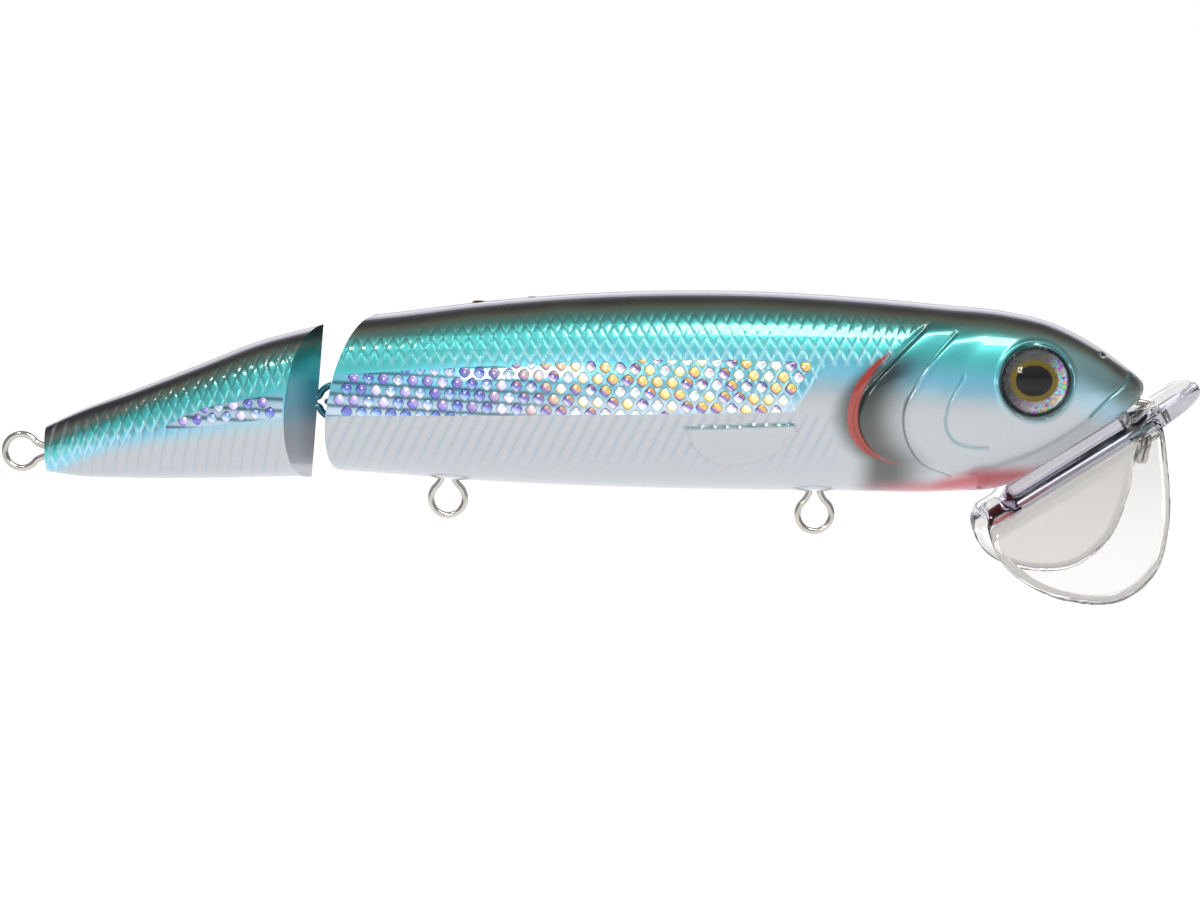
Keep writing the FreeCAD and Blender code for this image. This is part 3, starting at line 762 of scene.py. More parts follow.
# Darker colour along the gill edge, along the plate's groove and in the nostril dimple.
groove_dark = paint.attribute("gill_ink").larger(paint.attribute("plate_ink") * 0.85)
groove_dark = groove_dark.larger(paint.attribute("nostril"))
colour = paint.mix(groove_dark, colour, GROOVE_DARK)
soft_ink = (paint.attribute("cheek_ink") * 0.55).larger(paint.attribute("mouth_ink") * 0.9)
soft_ink = soft_ink.larger(paint.attribute("fin_top") * 0.9).larger(paint.attribute("eye_rim") * 0.6)
colour = paint.mix(soft_ink, colour, TEAL_INK)
lines = paint.attribute("scales")
colour = paint.mix(lines * (1 - depth.step(5.0, 9.0)) * 0.6, colour, SCALE_DARK)
colour = paint.mix(lines * depth.step(6.0, 9.5) * 0.55, colour, SCALE_LIGHT)
colour = paint.mix(paint.attribute("ribs") * 0.75, colour, RIB_SHADE)
colour = paint.mix(paint.attribute("fin_edge") * 0.25, colour, FIN_SHADE)
colour = paint.mix(paint.attribute("crescent"), colour, RED)
glint = paint.node("ShaderNodeHueSaturation", {}, 0.5, 1.0, (speck - 0.5) * 0.07 + 1, 1.0, colour)
metal = (depth.step(2.2, 5.0) * 0.55) * (1 - paint.attribute("crescent"))
paint.feed(Base_Color=glint, Metallic=metal, Roughness=(speck * 0.06 + 0.29))
paint.bump(lines * -0.06 + paint.attribute("ribs") * -0.05, MM, 0.6)

# %% Shells
BODY_ROWS, TAIL_ROWS = 150, 110
BODY_X = np.concatenate([np.linspace(-129.6, -53.0, 270), np.linspace(-52.7, -3.0, 285),
                         -0.1 - 2.8 * (1 - np.linspace(0, 1, 34)[1:] ** 0.7)])
TAIL_X = np.linspace(-137.2, -182.4, 230)
SIDES = (("right", -1), ("left", 1))
SECTIONS = (("body", "front_body", body_hull, BODY_X, BODY_ROWS, body_relief, body_hinge),
            ("tail", "tail", tail_hull, TAIL_X, TAIL_ROWS, tail_relief, tail_hinge))
for name, side in SIDES:
    for section, body, surface, columns_x, rows, relief, hinge_x in SECTIONS:
        shell = half_shell("painted_" + section + "_" + name, side, surface, columns_x, rows, relief,
                           hinge_x)
        end_faces(shell, rows, len(columns_x))
        finish(shell, body, "painted_shell", paint, section + "_shell_" + name)

# %% [markdown]
# ## Bent wire
# Every eye is one length of spring wire bent round a peg. A tube follows the bend: two legs come
# together above a nearly full circle, so the eye is a drop shape rather than a ring with a stalk.

# %% Tube
def ring_faces(rings, sides):
    """The faces between rings of points, each ring closed on itself."""
    faces = []
    for k in range(rings - 1):
        for n in range(sides):
            m = (n + 1) % sides
            faces.append((k * sides + n, k * sides + m, (k + 1) * sides + m, (k + 1) * sides + n))
    return faces


def tube(name, path, radius, sides=18, flat=1.0):
    """A closed tube round a path of (x, y, z) points in millimetres, with rounded ends."""
    tangent = np.gradient(path, axis=0)
    tangent /= np.linalg.norm(tangent, axis=1, keepdims=True)
    up = np.cross(tangent[0], (0.3, 0.9, 0.2))
    verts = []
    rings = len(path)
    for k in range(rings):
        up = up - tangent[k] * up.dot(tangent[k])
        up /= np.linalg.norm(up)
        other = np.cross(tangent[k], up)
        for n in range(sides):
            angle = 2 * math.pi * n / sides
            verts.append(path[k] + radius * (math.cos(angle) * up + flat * math.sin(angle) * other))
    faces = ring_faces(rings, sides)
    for first, sign in ((0, -1), (rings - 1, 1)):
        verts.append(path[first] + tangent[first] * sign * radius * 0.5)
        tip = len(verts) - 1
        for n in range(sides):
            faces.append((first * sides + n, first * sides + (n + 1) % sides, tip))
    return close_and_face_out(mesh_object(name, verts, faces))


def spline(points, samples):
    """A smooth path through 3-D points."""
    points = np.asarray(points, float)
    along = np.concatenate([[0], np.cumsum(np.linalg.norm(np.diff(points, axis=0), axis=1))])
    steps = np.linspace(0, along[-1], samples)
    return np.stack([smooth_curve(along, points[:, k])(steps) for k in range(3)], 1)


def eye_path(middle, towards, across, radius, legs, spread, gap=38):
    """The bend of one eye: down a leg, round the circle and back up the other leg."""
    middle, towards, across = [np.array(v, float) for v in (middle, towards, across)]
    towards /= np.linalg.norm(towards)
    path = [middle + towards * legs + across * spread,
            middle + towards * (legs * 0.6 + radius * 0.5) + across * spread,
            middle + towards * (radius + 0.75) + across * spread]
    for turn in np.radians(np.linspace(gap, 360 - gap, 27)):
        path.append(middle + radius * (math.cos(turn) * towards + math.sin(turn) * across))
    path += [middle + towards * (radius + 0.75) - across * spread,
             middle + towards * (legs * 0.6 + radius * 0.5) - across * spread,
             middle + towards * legs - across * spread]
    return spline(path, 170)


# %% [markdown]
# ## Metals
# The hook eyes are bright stainless wire, scuffed and streaked by bending, so noise varies both the
# colour and the gloss. The two hinge eyes were caught by the teal spray, and the paint has chipped
# off in spots. The weights and the moulding pins are dull brass.

# %% Metals
steel = Paint("bright_wire", Metallic=1.0)
scuff = steel.noise(900.0, 3.0)
streak = steel.noise(260.0, 2.0)
steel.feed(Base_Color=steel.mix(streak, srgb(150, 146, 138), srgb(205, 203, 198)),
           Roughness=(scuff * 0.14 + 0.13))
steel.bump(scuff, 0.00002, 0.5)

teal_wire = Paint("oversprayed_wire", Metallic=0.6, Coat_Weight=0.6, Coat_Roughness=0.1)
chip = teal_wire.noise(700.0, 4.0).step(0.60, 0.66)
teal_wire.feed(Base_Color=teal_wire.mix(chip, srgb(24, 92, 108), srgb(150, 170, 172)),
               Roughness=(chip * 0.1 + 0.25))

brass = Paint("aged_brass", Metallic=1.0)
tarnish = brass.noise(1200.0, 4.0)
brass.feed(Base_Color=brass.mix(tarnish, srgb(58, 46, 22), srgb(142, 116, 58)),
           Roughness=(tarnish * 0.3 + 0.25))


# %% [markdown]
# ## Hook eyes, hinge eyes and line tie
# Each hook and hinge eye's place and reach come from its node's box, so the drawn wire stands where
# the design has it; the line tie is bent round the origin with legs of a set length. The hook and
# hinge eyes' legs stop a little short of the buried end, inside the shell.

# %% Wire eyes
WIRE = 0.575            # radius of the wire
LEG_SHORT = 2.0         # the legs stop this short of the buried end
HOOK_R, JOINT_R, TIE_R = 2.83, 2.76, 2.95
HOOK_SPREAD, JOINT_SPREAD = 0.95, 0.62
UP, FORWARD, BACKWARD, ASIDE = [np.array(v, float) for v in ((0, 0, 1), (1, 0, 0), (-1, 0, 0), (0, 1, 0))]
BRIGHT, SPRAYED = ("wire_steel", steel), ("painted_wire", teal_wire)


def wire_eye(node, body, look, *bend):
    """Bends one eye and finishes it. look is its slot and its metal."""
    finish(tube("bent_" + node, eye_path(*bend), WIRE), body, *look, node)


for node in ("front_hook_hanger", "rear_hook_hanger"):
    lowest, highest = node_box(node)
    ring = ((lowest[0] + highest[0]) / 2, 0, lowest[2] + HOOK_R + WIRE)
    wire_eye(node, "front_body", BRIGHT, ring, UP, FORWARD, HOOK_R, highest[2] - ring[2] - LEG_SHORT,
             HOOK_SPREAD)

lowest, highest = node_box("tail_hook_hanger")
ring = (lowest[0] + HOOK_R + WIRE, 0, (lowest[2] + highest[2]) / 2)
wire_eye("tail_hook_hanger", "tail", BRIGHT, ring, FORWARD, UP, HOOK_R,
         highest[0] - ring[0] - LEG_SHORT, HOOK_SPREAD, 34)

hinge_z = [j for j in frame["joints"] if j["name"] == "tail_swing"][0]["pos_m"][2] / MM
lowest, highest = node_box("body_joint_eye")
ring = (lowest[0] + JOINT_R + WIRE, 0, hinge_z)
wire_eye("body_joint_eye", "front_body", SPRAYED, ring, FORWARD, ASIDE, JOINT_R,
         highest[0] - ring[0] - LEG_SHORT, JOINT_SPREAD, 20)
lowest, highest = node_box("tail_joint_eye")
ring = (highest[0] - JOINT_R - WIRE, 0, hinge_z)
wire_eye("tail_joint_eye", "tail", SPRAYED, ring, BACKWARD, UP, JOINT_R,
         ring[0] - lowest[0] - LEG_SHORT, JOINT_SPREAD, 20)

wire_eye("line_tie_eye", "front_body", BRIGHT, (0, 0, 0), (-0.68, 0, 0.73), np.array((0.73, 0, 0.68)),
         TIE_R, 8.0, HOOK_SPREAD, 55)

# %% [markdown]
# ## Split ring
# A split ring is nearly two turns of wire side by side, so that a line or a snap can be wound on. It
# is drawn as one path that steps across from the first turn to the second near the half-way point.

# %% Split ring
COIL_WIRE = 0.5         # radius of the wire
COIL_STEP = 0.48        # each turn's distance from the middle plane
lowest, highest = node_box("split_ring")
ring_middle = (lowest + highest) / 2
COIL_R = (highest[2] - lowest[2]) / 2 - COIL_WIRE
turns = np.linspace(0.08, 3.92, 260) * math.pi
shift = 2 * COIL_STEP * ramped(turns, 1.8 * math.pi, 2.2 * math.pi) - COIL_STEP
path = np.stack([ring_middle[0] + shift, COIL_R * np.sin(turns), ring_middle[2] - COIL_R * np.cos(turns)], 1)
finish(tube("coiled_split_ring", path, COIL_WIRE, flat=0.94), "split_ring", "wire_steel", steel,
       "split_ring")

# %% [markdown]
# ## The clear lip
# The lip is moulded in one piece: a thick arch that droops to each side, a root pad glued under the
# chin, and a flat tab ahead of the nose. One grid makes it: rows run across the arch, and each row
# runs from the back of the rim to the front. Both skins come from the same grid, so the wall is even
# and the rim can be given a flat edge with small radii, as a polished mould leaves it.

# %% Lip surface
LIP_RIM = np.array([(-30.0, -1.6), (-32.2, 1.5), (-33.0, 5.0), (-31.4, 10.5), (-27.0, 15.8),
                    (-20.6, 19.3), (-13.6, 18.6), (-7.2, 13.6), (-1.6, 5.6), (1.2, 0.4), (1.8, -1.6)])
LIP_FLAT, LIP_BEND = 6.0, 6.0       # half width of the flat middle, and the bend's radius
LIP_HALF, LIP_BASE = 1.4, -0.4      # half the plate's thickness, and the middle's place on the normal
DROOP = math.radians(60.0)
BEND_END = LIP_FLAT + LIP_BEND * DROOP
TAB_HALF, TAB_FRONT, TAB_POWER = 8.6, 10.6, 3.2
ROOT_HALF = 6.2
RELIEF_HALF, RELIEF_EDGE, RELIEF_TOP = 2.1, 2.6, 0.2    # the pocket that the split ring swings in
LIP_ROUND = 1.25
LIP_ROWS, LIP_COLUMNS = 241, 141
ROW_CROWD = 0.985                   # crowds the rows together towards the two tips


def lip_frame(u, y, a):
    """Lip coordinates to the lure's: u forward along the root, y across, a down its normal."""
    return np.stack([u * math.cos(LIP_RISE) + a * math.sin(LIP_RISE), y,
                     u * math.sin(LIP_RISE) - a * math.cos(LIP_RISE)], -1)


def arch(s):
    """Along the arch from its middle: the mid skin's y and a, and its slope."""
    turn = np.clip((s - LIP_FLAT) / LIP_BEND, 0, DROOP)
    y = np.minimum(s, LIP_FLAT) + LIP_BEND * np.sin(turn)
    a = LIP_BASE + LIP_BEND * (1 - np.cos(turn))
    past = np.maximum(s - BEND_END, 0)
    return y + past * math.cos(DROOP), a + past * math.sin(DROOP), turn


def rim_sides():
    """The rim as curves of u and depth a behind and ahead of its lowest point, and that point."""
    rim = spline(np.column_stack([LIP_RIM[:, 0], LIP_RIM[:, 1], 0 * LIP_RIM[:, 0]]), 600)
    lowest_at = int(rim[:, 1].argmax())
    return rim[:lowest_at + 1], rim[lowest_at:][::-1], rim[lowest_at]


def rounding(u, s, a, back, front):
    """How much the rim's small radius takes off each skin, from the distance to the rim."""
    behind_rim, front_rim, tip = rim_sides()
    half = LIP_ROWS // 2
    bend_deep = arch(np.array(BEND_END))[1]
    # The rim is laid on the flattened plate: past the bend its depth grows evenly.
    rim = np.concatenate([behind_rim, front_rim[::-1]])
    flat_s = np.where(rim[:, 1] < bend_deep, np.interp(rim[:, 1], a[half:], s[half:]),
                      BEND_END + (rim[:, 1] - bend_deep) / math.sin(DROOP))
    keep = (rim[:, 0] < tip[0]) | (flat_s > TAB_HALF)
    out = np.abs(s)[:, None]
    edge = distance_to(np.column_stack([rim[:, 0], flat_s])[keep][::3], u, out + 0 * u)
    edge = np.where(out < TAB_HALF + 0.3, np.minimum(edge, front[:, None] - u), edge)
    edge = np.minimum(edge, u - back[:, None] + np.where(out < TAB_HALF, 0, 9.0))
    edge = np.clip(edge / LIP_ROUND, 0, 1)
    return LIP_ROUND * (1 - np.sqrt(np.clip(1 - (1 - edge) ** 2, 0, 1)))


def lip_piece():
    """The lip as two skins over one grid: rows across the arch, columns from its back to its front."""
    behind_rim, front_rim, tip = rim_sides()
    longest = BEND_END + (tip[1] - arch(np.array(BEND_END))[1]) / math.sin(DROOP)
    crowded = ROW_CROWD * math.pi / 2
    s = longest * np.sin(np.linspace(-1, 1, LIP_ROWS) * crowded) / math.sin(crowded)
    along = (1 - np.cos(np.linspace(0, 1, LIP_COLUMNS) * math.pi)) / 2
    y, a, turn = arch(np.abs(s))
    back = np.interp(a, behind_rim[:, 1], behind_rim[:, 0])
    front = np.interp(a, front_rim[:, 1], front_rim[:, 0])
    tab = np.clip(1 - (np.abs(s) / TAB_HALF) ** TAB_POWER, 0, 1) ** (1 / TAB_POWER)
    front = front + (TAB_FRONT - front) * tab
    u = back[:, None] + (front - back)[:, None] * along[None, :]
    half_thick = LIP_HALF - rounding(u, s, a, back, front)
    out = np.abs(s)[:, None]
    root = (1 - ramped(out, ROOT_HALF - 1.4, ROOT_HALF + 2.6)) * (1 - ramped(u, -3.0, 3.0))
    root = root * ramped(u, -27.5, -24.5)
    pocket = (1 - ramped(out, RELIEF_HALF, RELIEF_EDGE)) * (1 - ramped(np.abs(u), RELIEF_HALF, RELIEF_EDGE))
    upper = -half_thick - root * (-CHIN_TOP + LIP_BASE - LIP_HALF - 0.02)
    lower = half_thick - pocket * (LIP_BASE + LIP_HALF - RELIEF_TOP)
    skins = []
    for offset in (upper, lower):
        skin_y = y[:, None] - offset * np.sin(turn)[:, None]
        skin_a = a[:, None] + offset * np.cos(turn)[:, None]
        skins.append(lip_frame(u, np.sign(s)[:, None] * skin_y, skin_a))
    return plate("clear_lip", skins)


# %% [markdown]
# ## Clear plastic
# Polycarbonate is clear through its face and grey-violet through its edge, because light crosses
# more of it there. A slight tint on each face and an absorbing volume inside give both. A faint
# ripple in the surface keeps the reflections from looking ruled.

# %% Clear lip
clear = Paint("clear_lip_plastic", Roughness=0.015, IOR=1.52, Transmission_Weight=1.0)
clear.shader.inputs["Base Color"].default_value = (0.80, 0.79, 0.745, 1)
ripple = clear.noise(55.0, 1.0)
clear.bump(ripple, 0.00006, 0.25)
absorb = clear.tree.nodes.new("ShaderNodeVolumeAbsorption")
absorb.inputs["Color"].default_value = (0.60, 0.59, 0.73, 1)
absorb.inputs["Density"].default_value = 60.0
clear.tree.links.new(absorb.outputs[0], clear.tree.nodes["Material Output"].inputs["Volume"])
clear.let_light_through()
lip = lip_piece()
lip.data.set_sharp_from_angle(angle=math.radians(48))
finish(lip, "front_body", "lip_clear", clear, "lip")

# %% [markdown]
# ## Eyes
# A flat printed disc sits in the socket: black pupil, olive-gold iris, and a ring of holographic
# glitter. A clear dome over it bends the light and carries the highlight.

# %% Printed iris
PUPIL_SHIFT = (-0.28, 0.05)     # the pupil sits a little behind the disc's middle


def oval(across, up, half_wide, half_tall):
    """Distance from the middle of an oval, 1 on its edge."""
    return ((across / half_wide).power(2.0) + (up / half_tall).power(2.0)).power(0.5)


def repaint(paint_used, *nodes):
    """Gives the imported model's own pieces a new material."""
    for node in nodes:
        piece = frame["nodes"][node]
        piece.data.materials.clear()
        piece.data.materials.append(paint_used.material)


iris = Paint("printed_iris", Specular_IOR_Level=0.0)
ix, _, iz = iris.xyz()
dx, dz = ix - (EYE[0] + PUPIL_SHIFT[0]), iz - (EYE[2] + PUPIL_SHIFT[1])
pupil = oval(dx, dz, 2.95, 2.5)
gold = oval(dx, dz, 3.85, 3.4)
rx, rz = ix - EYE[0], iz - EYE[2]
whole = oval(rx, rz, 1.0, 1.0)
shard = iris.cells(2600.0)
tone = iris.node("ShaderNodeSeparateColor", {}, shard, output=0)
sparkle = iris.node("ShaderNodeSeparateColor", {}, shard, output=1)
rainbow = iris.node("ShaderNodeValToRGB", {"stops": [
    (0.0, srgb(60, 40, 220)), (1.0, srgb(255, 140, 40)), (0.25, srgb(210, 60, 230)),
    (0.5, srgb(90, 210, 230)), (0.75, srgb(70, 220, 90))]}, tone)
glitter = iris.mix(sparkle.step(0.45, 0.85), srgb(176, 176, 178), rainbow)
shade = (1 - (rx * 0.10 - rz * 0.09 + 0.45).step(0.2, 0.9)) * 0.9
glitter = iris.mix(shade, glitter, srgb(58, 60, 60))
iris_colour = iris.mix(whole.step(4.9, 5.3), glitter, srgb(24, 34, 34))
iris_colour = iris.mix(1 - gold.step(0.97, 1.03), iris_colour, srgb(104, 88, 24))
iris_colour = iris.mix(1 - pupil.step(0.96, 1.02), iris_colour, srgb(2, 2, 2))
iris.feed(Base_Color=iris_colour, Metallic=gold.step(0.97, 1.03) * 0.55, Roughness=sparkle * 0.2 + 0.15)
repaint(iris, "eye_disc_left", "eye_disc_right")
print("eye", [round(v, 2) for v in EYE], "radius", round(EYE_RADIUS, 2))

# %% [markdown]
# ## Lenses
# The lens is a shallow cap cast on the disc. Its shape is a profile turned round the eye's middle:
# a flat back, a short rim and an arc whose radius follows from the lens's own height and width.

# %% Lens domes
DOME_RIM = 0.7
DOME_LIFT = 0.02        # keeps the lens's back just off the disc
dome_glass = Paint("eye_dome", Roughness=0.02, IOR=1.30, Specular_IOR_Level=0.25,
                   Transmission_Weight=1.0)
tiny = dome_glass.noise(400.0, 1.0)
dome_glass.bump(tiny, 0.000003, 0.1)
dome_glass.let_light_through()


def dome(name, side):
    """A flat-backed lens: a short rim and a shallow spherical cap."""
    lens_low, lens_high = node_box("eye_lens_" + name)
    seat, crown = sorted((abs(lens_low[1]), abs(lens_high[1])))
    rim = seat + DOME_RIM
    rise = crown - rim
    ball = (EYE_RADIUS ** 2 + rise ** 2) / (2 * rise)
    seat += DOME_LIFT
    profile = [(0.0, seat), (EYE_RADIUS * 0.5, seat), (EYE_RADIUS - 0.1, seat), (EYE_RADIUS, seat + 0.1),
               (EYE_RADIUS, rim - 0.15)]
    for r in np.linspace(EYE_RADIUS - 0.04, 0.0, 26):
        profile.append((r, crown - ball + math.sqrt(ball ** 2 - r ** 2)))
    around = 96
    verts = []
    for r, out in profile:
        for angle in 2 * math.pi * np.arange(around) / around:
            verts.append((EYE[0] + r * math.cos(angle), side * out, EYE[2] + r * math.sin(angle)))
    return close_and_face_out(mesh_object("eye_dome_" + name, verts, ring_faces(len(profile), around)))


for name, side in SIDES:
    finish(dome(name, side), "front_body", "eye_clear", dome_glass, "eye_lens_" + name)

# %% [markdown]
# ## Pieces that stay as they were designed
# The two moulding pins, the three weights and the rattle balls are plain round pieces. Their
# designed shapes are already right, so they only get their metals.

# %% Pins, weights and rattle balls
repaint(brass, "back_pin_front", "back_pin_rear", "front_ballast", "rear_ballast", "tail_ballast")
repaint(steel, "rattle_balls")

# %% [markdown]
# ## Holographic foil
# The foil is a thin embossed strip let into the flank. Its rows of small rounded diamonds are the same
# shape repeated, so Geometry Nodes place one diamond on every point of a lattice that follows the
# hull. Each diamond stores a random number, which the paint turns into its own flash of colour.


# %% Foil strip
PITCH, ROW_GAP = 2.41, 1.90             # spacing of the cells along a row and from row to row
FIRST_ROW, ROW_FALL = 7.9, 0.052        # height of the first row at its rear end, and its slope


FOIL_RISE, FOIL_SUNK = 0.03, -0.25      # the strip's outer and inner faces, from the hull's surface


def strip(name, side, surface, rear, front, top, bottom, columns, rows=60):
    """A closed thin strip between two lines, lying on the hull. Its ends follow rear and front."""
    share = np.linspace(0, 1, rows)[None, :]
    along = np.linspace(0, 1, columns)[:, None]
    z = np.full((columns, rows), 5.0)
    for _ in range(4):
        x = rear(z) + (front(z) - rear(z)) * along
        z = bottom(x) + (top(x) - bottom(x)) * share
    piece = plate(name, [np.stack([x, side * (surface.half_width(x, z) + lift), z], -1)
                         for lift in (FOIL_RISE, FOIL_SUNK)])
    piece.data.set_sharp_from_angle(angle=math.radians(40))
    px, _, pz = np.array([v.co for v in piece.data.vertices]).T / MM
    row = (pz - FIRST_ROW + ROW_FALL * (px - px.min())) / ROW_GAP + 0.5
    store(piece, {"rows": groove(np.abs((row + 0.5) % 1 - 0.5) * ROW_GAP, 0.6),
                  "crossing": scale_lines(px, pz, RIB_PITCH) * ramped(px, -100.0, -80.0)})
    return piece


# %% One cell
CELL_SIDES, CELL_REACH, CELL_POWER = 16, 1.05, 1.45     # a power of 1 is a diamond, 2 a circle


def diamond():
    """One embossed cell: a rounded diamond with a raised, faceted middle."""
    verts = [(0, 0, 0.16)]
    for scale, rise in ((0.62, 0.13), (1.0, 0.0)):
        for n in range(CELL_SIDES):
            angle = 2 * math.pi * n / CELL_SIDES
            c, s = math.cos(angle), math.sin(angle)
            reach = CELL_REACH / (abs(c) ** CELL_POWER + abs(s) ** CELL_POWER) ** (1 / CELL_POWER)
            verts.append((reach * scale * c, reach * scale * s, rise))
    faces = [(0, 1 + n, 1 + (n + 1) % CELL_SIDES) for n in range(CELL_SIDES)]
    for n in range(CELL_SIDES):
        m = (n + 1) % CELL_SIDES
        faces.append((1 + n, 1 + CELL_SIDES + n, 1 + CELL_SIDES + m, 1 + m))
    faces.append(tuple(range(2 * CELL_SIDES, CELL_SIDES, -1)))
    obj = mesh_object("diamond_cell", verts, faces)
    slant = obj.data.attributes.new("slant", "FLOAT", "POINT")
    slant.data.foreach_set("value", [float(0.55 * v[0] + 0.83 * v[1]) for v in verts])
    bpy.context.scene.collection.objects.unlink(obj)
    return obj


cell = diamond()
CELL_SEED = 7


# %% Lattice of cells
def lattice_tree(material):
    """Instances the cell on every point, turned to the point's normal, and stores a random number."""
    tree = bpy.data.node_groups.new("foil_lattice", "GeometryNodeTree")
    face = tree.interface
    face.new_socket("Geometry", in_out="INPUT", socket_type="NodeSocketGeometry")
    face.new_socket("Cell", in_out="INPUT", socket_type="NodeSocketObject")
    size = face.new_socket("Cell size", in_out="INPUT", socket_type="NodeSocketFloat")
    size.default_value = 1.0
    seed = face.new_socket("Seed", in_out="INPUT", socket_type="NodeSocketInt")
    seed.default_value = CELL_SEED
    face.new_socket("Geometry", in_out="OUTPUT", socket_type="NodeSocketGeometry")
    nodes, links = tree.nodes, tree.links
    enter, leave = nodes.new("NodeGroupInput"), nodes.new("NodeGroupOutput")
    info = nodes.new("GeometryNodeObjectInfo")
    normal = nodes.new("GeometryNodeInputNamedAttribute")
    normal.data_type = "FLOAT_VECTOR"
    normal.inputs["Name"].default_value = "lie"
    align = nodes.new("FunctionNodeAlignRotationToVector")
    align.axis = "Z"
    align.pivot_axis = "X"
    place = nodes.new("GeometryNodeInstanceOnPoints")
    chance = nodes.new("FunctionNodeRandomValue")
    chance.data_type = "FLOAT"
    store = nodes.new("GeometryNodeStoreNamedAttribute")
    store.domain = "INSTANCE"
    store.inputs["Name"].default_value = "flash"
    realize = nodes.new("GeometryNodeRealizeInstances")
    dress = nodes.new("GeometryNodeSetMaterial")
    dress.inputs["Material"].default_value = material
    links.new(enter.outputs["Geometry"], place.inputs["Points"])
    links.new(enter.outputs["Cell"], info.inputs["Object"])
    links.new(info.outputs["Geometry"], place.inputs["Instance"])
    links.new(normal.outputs[0], align.inputs["Vector"])
    links.new(align.outputs[0], place.inputs["Rotation"])
    links.new(enter.outputs["Cell size"], place.inputs["Scale"])
    links.new(enter.outputs["Seed"], chance.inputs["Seed"])
    links.new(place.outputs[0], store.inputs["Geometry"])
    value = [s for s in chance.outputs if s.enabled][0]
    links.new(value, store.inputs["Value"])
    links.new(store.outputs[0], realize.inputs[0])
    links.new(realize.outputs[0], dress.inputs["Geometry"])
    links.new(dress.outputs[0], leave.inputs[0])
    return tree


def lattice(name, side, surface, spots, size, tree, top, bottom):
    """The strip's cells as one plain mesh. Cells at the strip's edge are trimmed by it."""
    x, z = np.array(spots, float).T
    width = surface.half_width
    points = np.stack([x, side * (width(x, z) + FOIL_RISE), z], 1)
    step = 0.05
    rise = (width(x, z + step) - width(x, z - step)) / (2 * step)
    run = (width(x + step, z) - width(x - step, z)) / (2 * step)
    lie = np.stack([-run, np.full(len(x), side), -rise], 1)
    lie /= np.linalg.norm(lie, axis=1, keepdims=True)
    holder = mesh_object(name + "_points", points, [])
    layer = holder.data.attributes.new("lie", "FLOAT_VECTOR", "POINT")
    layer.data.foreach_set("vector", lie.reshape(-1).astype(np.float32))
    modifier = holder.modifiers.new("lattice", "NODES")
    modifier.node_group = tree
    keys = {s.name: s.identifier for s in tree.interface.items_tree if s.in_out == "INPUT"}
    modifier[keys["Cell"]] = cell
    modifier[keys["Cell size"]] = size
    modifier[keys["Seed"]] = CELL_SEED
    bpy.context.view_layer.update()
    made = bpy.data.meshes.new_from_object(holder.evaluated_get(bpy.context.evaluated_depsgraph_get()))
    bpy.data.objects.remove(holder)
    spots_3d = np.array([v.co for v in made.vertices]) / MM
    spots_3d[:, 2] = np.clip(spots_3d[:, 2], bottom(spots_3d[:, 0]), top(spots_3d[:, 0]))
    made.vertices.foreach_set("co", (spots_3d * MM).reshape(-1).astype(np.float32))
    made.update()
    return link(bpy.data.objects.new(name, made))


# %% [markdown]
# ## Foil colours
# Holographic film splits light, so each cell flashes its own colour as it turns. A picture from one
# place needs only one flash for each cell: the cell's random number and the slant of its facets pick
# a tone from a ramp. The rear half uses a cool ramp and the front half a warm one, because the film
# curves away from the light along the flank. The ground between the cells carries the scale lines.

# %% Foil paints
flash_paint = Paint("foil_cells", Coat_Weight=1.0, Coat_Roughness=0.04)
fx, _, _ = flash_paint.xyz()
drift = flash_paint.noise(75.0, 1.0)
flash = flash_paint.attribute("flash")
slant = flash_paint.attribute("slant")
to_nose = fx.step(-118.0, -84.0)
tone = (flash * 0.9 + slant * 0.22 + drift * 0.5 + 0.2).fraction()
cool = flash_paint.node("ShaderNodeValToRGB", {"stops": [
    (0.0, srgb(110, 98, 190)), (1.0, srgb(110, 98, 190)), (0.2, srgb(176, 164, 226)),
    (0.42, srgb(226, 220, 248)), (0.6, srgb(150, 190, 232)), (0.8, srgb(86, 110, 196))]}, tone)
warm = flash_paint.node("ShaderNodeValToRGB", {"stops": [
    (0.0, srgb(236, 178, 90)), (1.0, srgb(236, 178, 90)), (0.16, srgb(246, 232, 150)),
    (0.34, srgb(250, 250, 244)), (0.55, srgb(206, 240, 240)), (0.72, srgb(244, 226, 232)),
    (0.86, srgb(92, 84, 176))]}, tone)
dots = flash_paint.mix(to_nose, cool, warm)
flash_paint.feed(Base_Color=dots, Metallic=(drift * 0.2 + 0.25), Roughness=(flash * 0.15 + 0.15))

foil_paint = Paint("foil_ground", Coat_Weight=1.0, Coat_Roughness=0.04)
gx, _, gz = foil_paint.xyz()
sheen = foil_paint.noise(120.0, 2.0)
ground = foil_paint.mix(gz.step(2.6, 5.8), srgb(168, 190, 208), srgb(98, 172, 196))
ground = foil_paint.mix(gz.step(7.2, 9.6), ground, srgb(92, 190, 204))
rear = 1 - gx.step(-108.0, -86.0)
ground = foil_paint.mix(foil_paint.attribute("rows") * (rear * 0.85 + 0.12), ground, srgb(26, 88, 100))
ground = foil_paint.mix(foil_paint.attribute("crossing") * 0.5, ground, srgb(196, 226, 240))
foil_paint.feed(Base_Color=ground, Metallic=(sheen * 0.2 + 0.25), Roughness=(sheen * 0.15 + 0.2))
foil_paint.bump(foil_paint.attribute("crossing") * -0.05, MM, 0.6)

# %% [markdown]
# ## Laying the foil
# The main band runs along the flank and a small wedge runs on to the tail. Each is bounded by a top
# and a bottom line, by the hinge face, and by a slanted cut. The cells are laid in rows that fall
# slightly towards the head, every other row shifted by half a step.

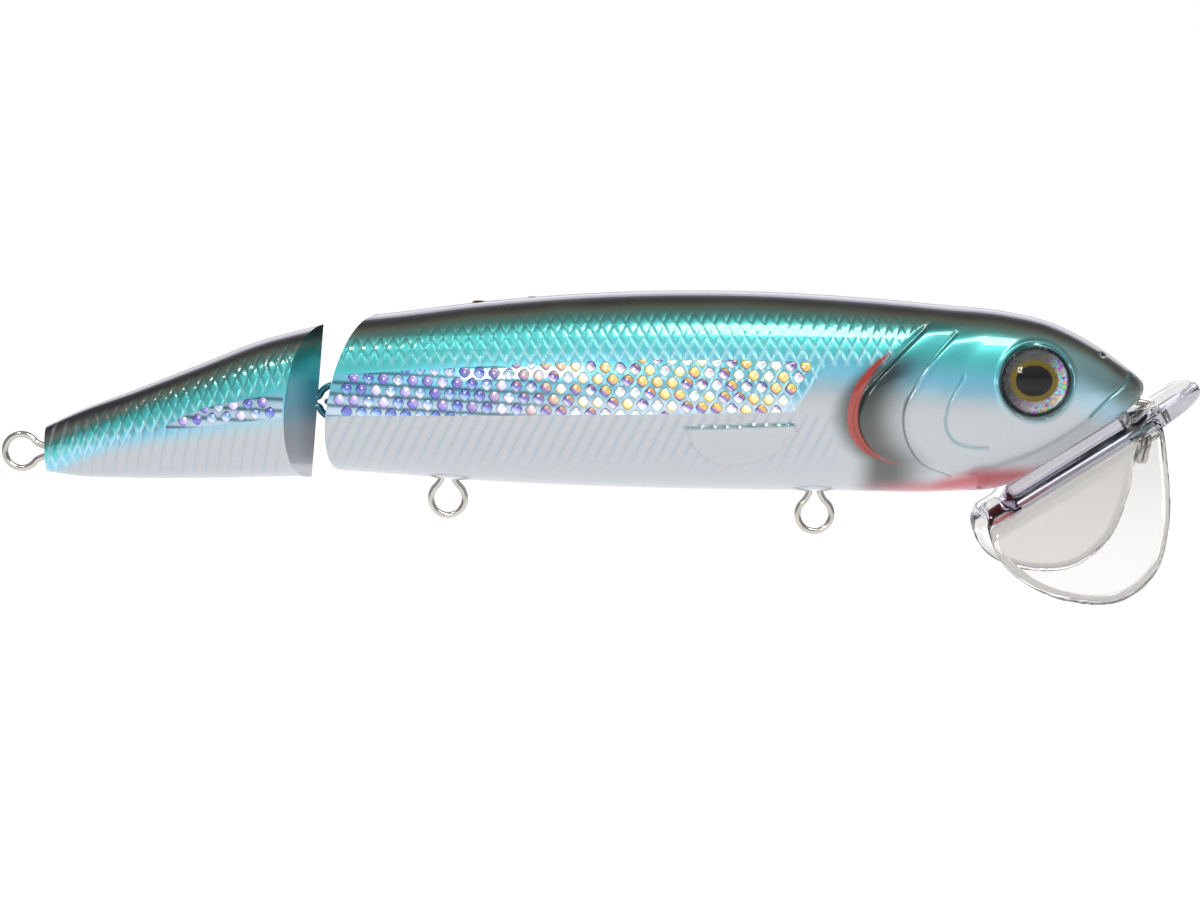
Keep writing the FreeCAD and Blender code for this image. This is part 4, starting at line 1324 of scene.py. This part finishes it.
# %% Foil pieces
HINGE_GAP = 0.3         # the foil stops this short of the hinge face
band_low, band_high = node_box("holo_foil_left")
foil_top = smooth_curve([-134.0, -110.0, -87.0, -70.0, -50.0], [8.0, 9.5, 10.5, 10.6, 10.0])
foil_bottom = smooth_curve([-134.0, -110.0, -87.0, -70.0, -50.0], [1.3, 1.5, 1.7, 1.9, 2.3])


def band_rear(z):
    return body_hinge(body_hull.half_width(-131.0, z), z) + HINGE_GAP


def band_front(z):
    return band_high[0] - 1.2 - 0.70 * (10.1 - z)


def wedge_rear(z):
    return np.full_like(z, -161.6)


def wedge_front(z):
    return tail_hinge(tail_hull.half_width(-142.0, z), z) - HINGE_GAP


body_spots = []
for row in range(-3, 7):
    for column in range(60):
        sx = band_low[0] + 1.2 + (column + 0.5 * (row % 2)) * PITCH
        sz = FIRST_ROW - row * ROW_GAP - ROW_FALL * (sx - band_low[0])
        between_ends = band_rear(sz) + 1.1 < sx < band_front(sz) - 1.0
        if between_ends and foil_bottom(sx) - 0.5 < sz < foil_top(sx) + 0.5:
            body_spots.append((sx, sz))
tail_top = smooth_curve([-162.0, -157.0, -150.0, -142.0], [-0.7, 1.8, 3.6, 5.2])
tail_bottom = smooth_curve([-162.0, -157.0, -150.0, -142.0], [-0.9, -0.7, 0.2, 1.0])
tail_spots = [(-161.0 + PITCH * c + 1.2 * (r % 2), 0.2 + ROW_GAP * r + 0.10 * PITCH * c)
              for r in range(3) for c in range(8)]
tail_spots = [(sx, sz) for sx, sz in tail_spots
              if sx < wedge_front(sz) - 1.0 and tail_bottom(sx) - 0.3 < sz < tail_top(sx) + 0.3]
print(len(body_spots), "cells on the band,", len(tail_spots), "on the wedge")
tree = lattice_tree(flash_paint.material)
FOILS = (("foil_", "holo_foil_", "front_body", body_hull, band_rear, band_front, foil_top, foil_bottom,
          (420, 60), body_spots, 1.0),
         ("tail_foil_", "tail_foil_", "tail", tail_hull, wedge_rear, wedge_front, tail_top, tail_bottom,
          (70, 24), tail_spots, 0.92))
for name, side in SIDES:
    for prefix, node, body, surface, rear, front, top, bottom, grid, spots, size in FOILS:
        band = strip(prefix + "band_" + name, side, surface, rear, front, top, bottom, *grid)
        finish(band, body, "holo_foil", foil_paint, node + name)
    for prefix, node, body, surface, rear, front, top, bottom, grid, spots, size in FOILS:
        cells = lattice(prefix + "cells_" + name, side, surface, spots, size, tree, top, bottom)
        finish(cells, body, "holo_foil", flash_paint)
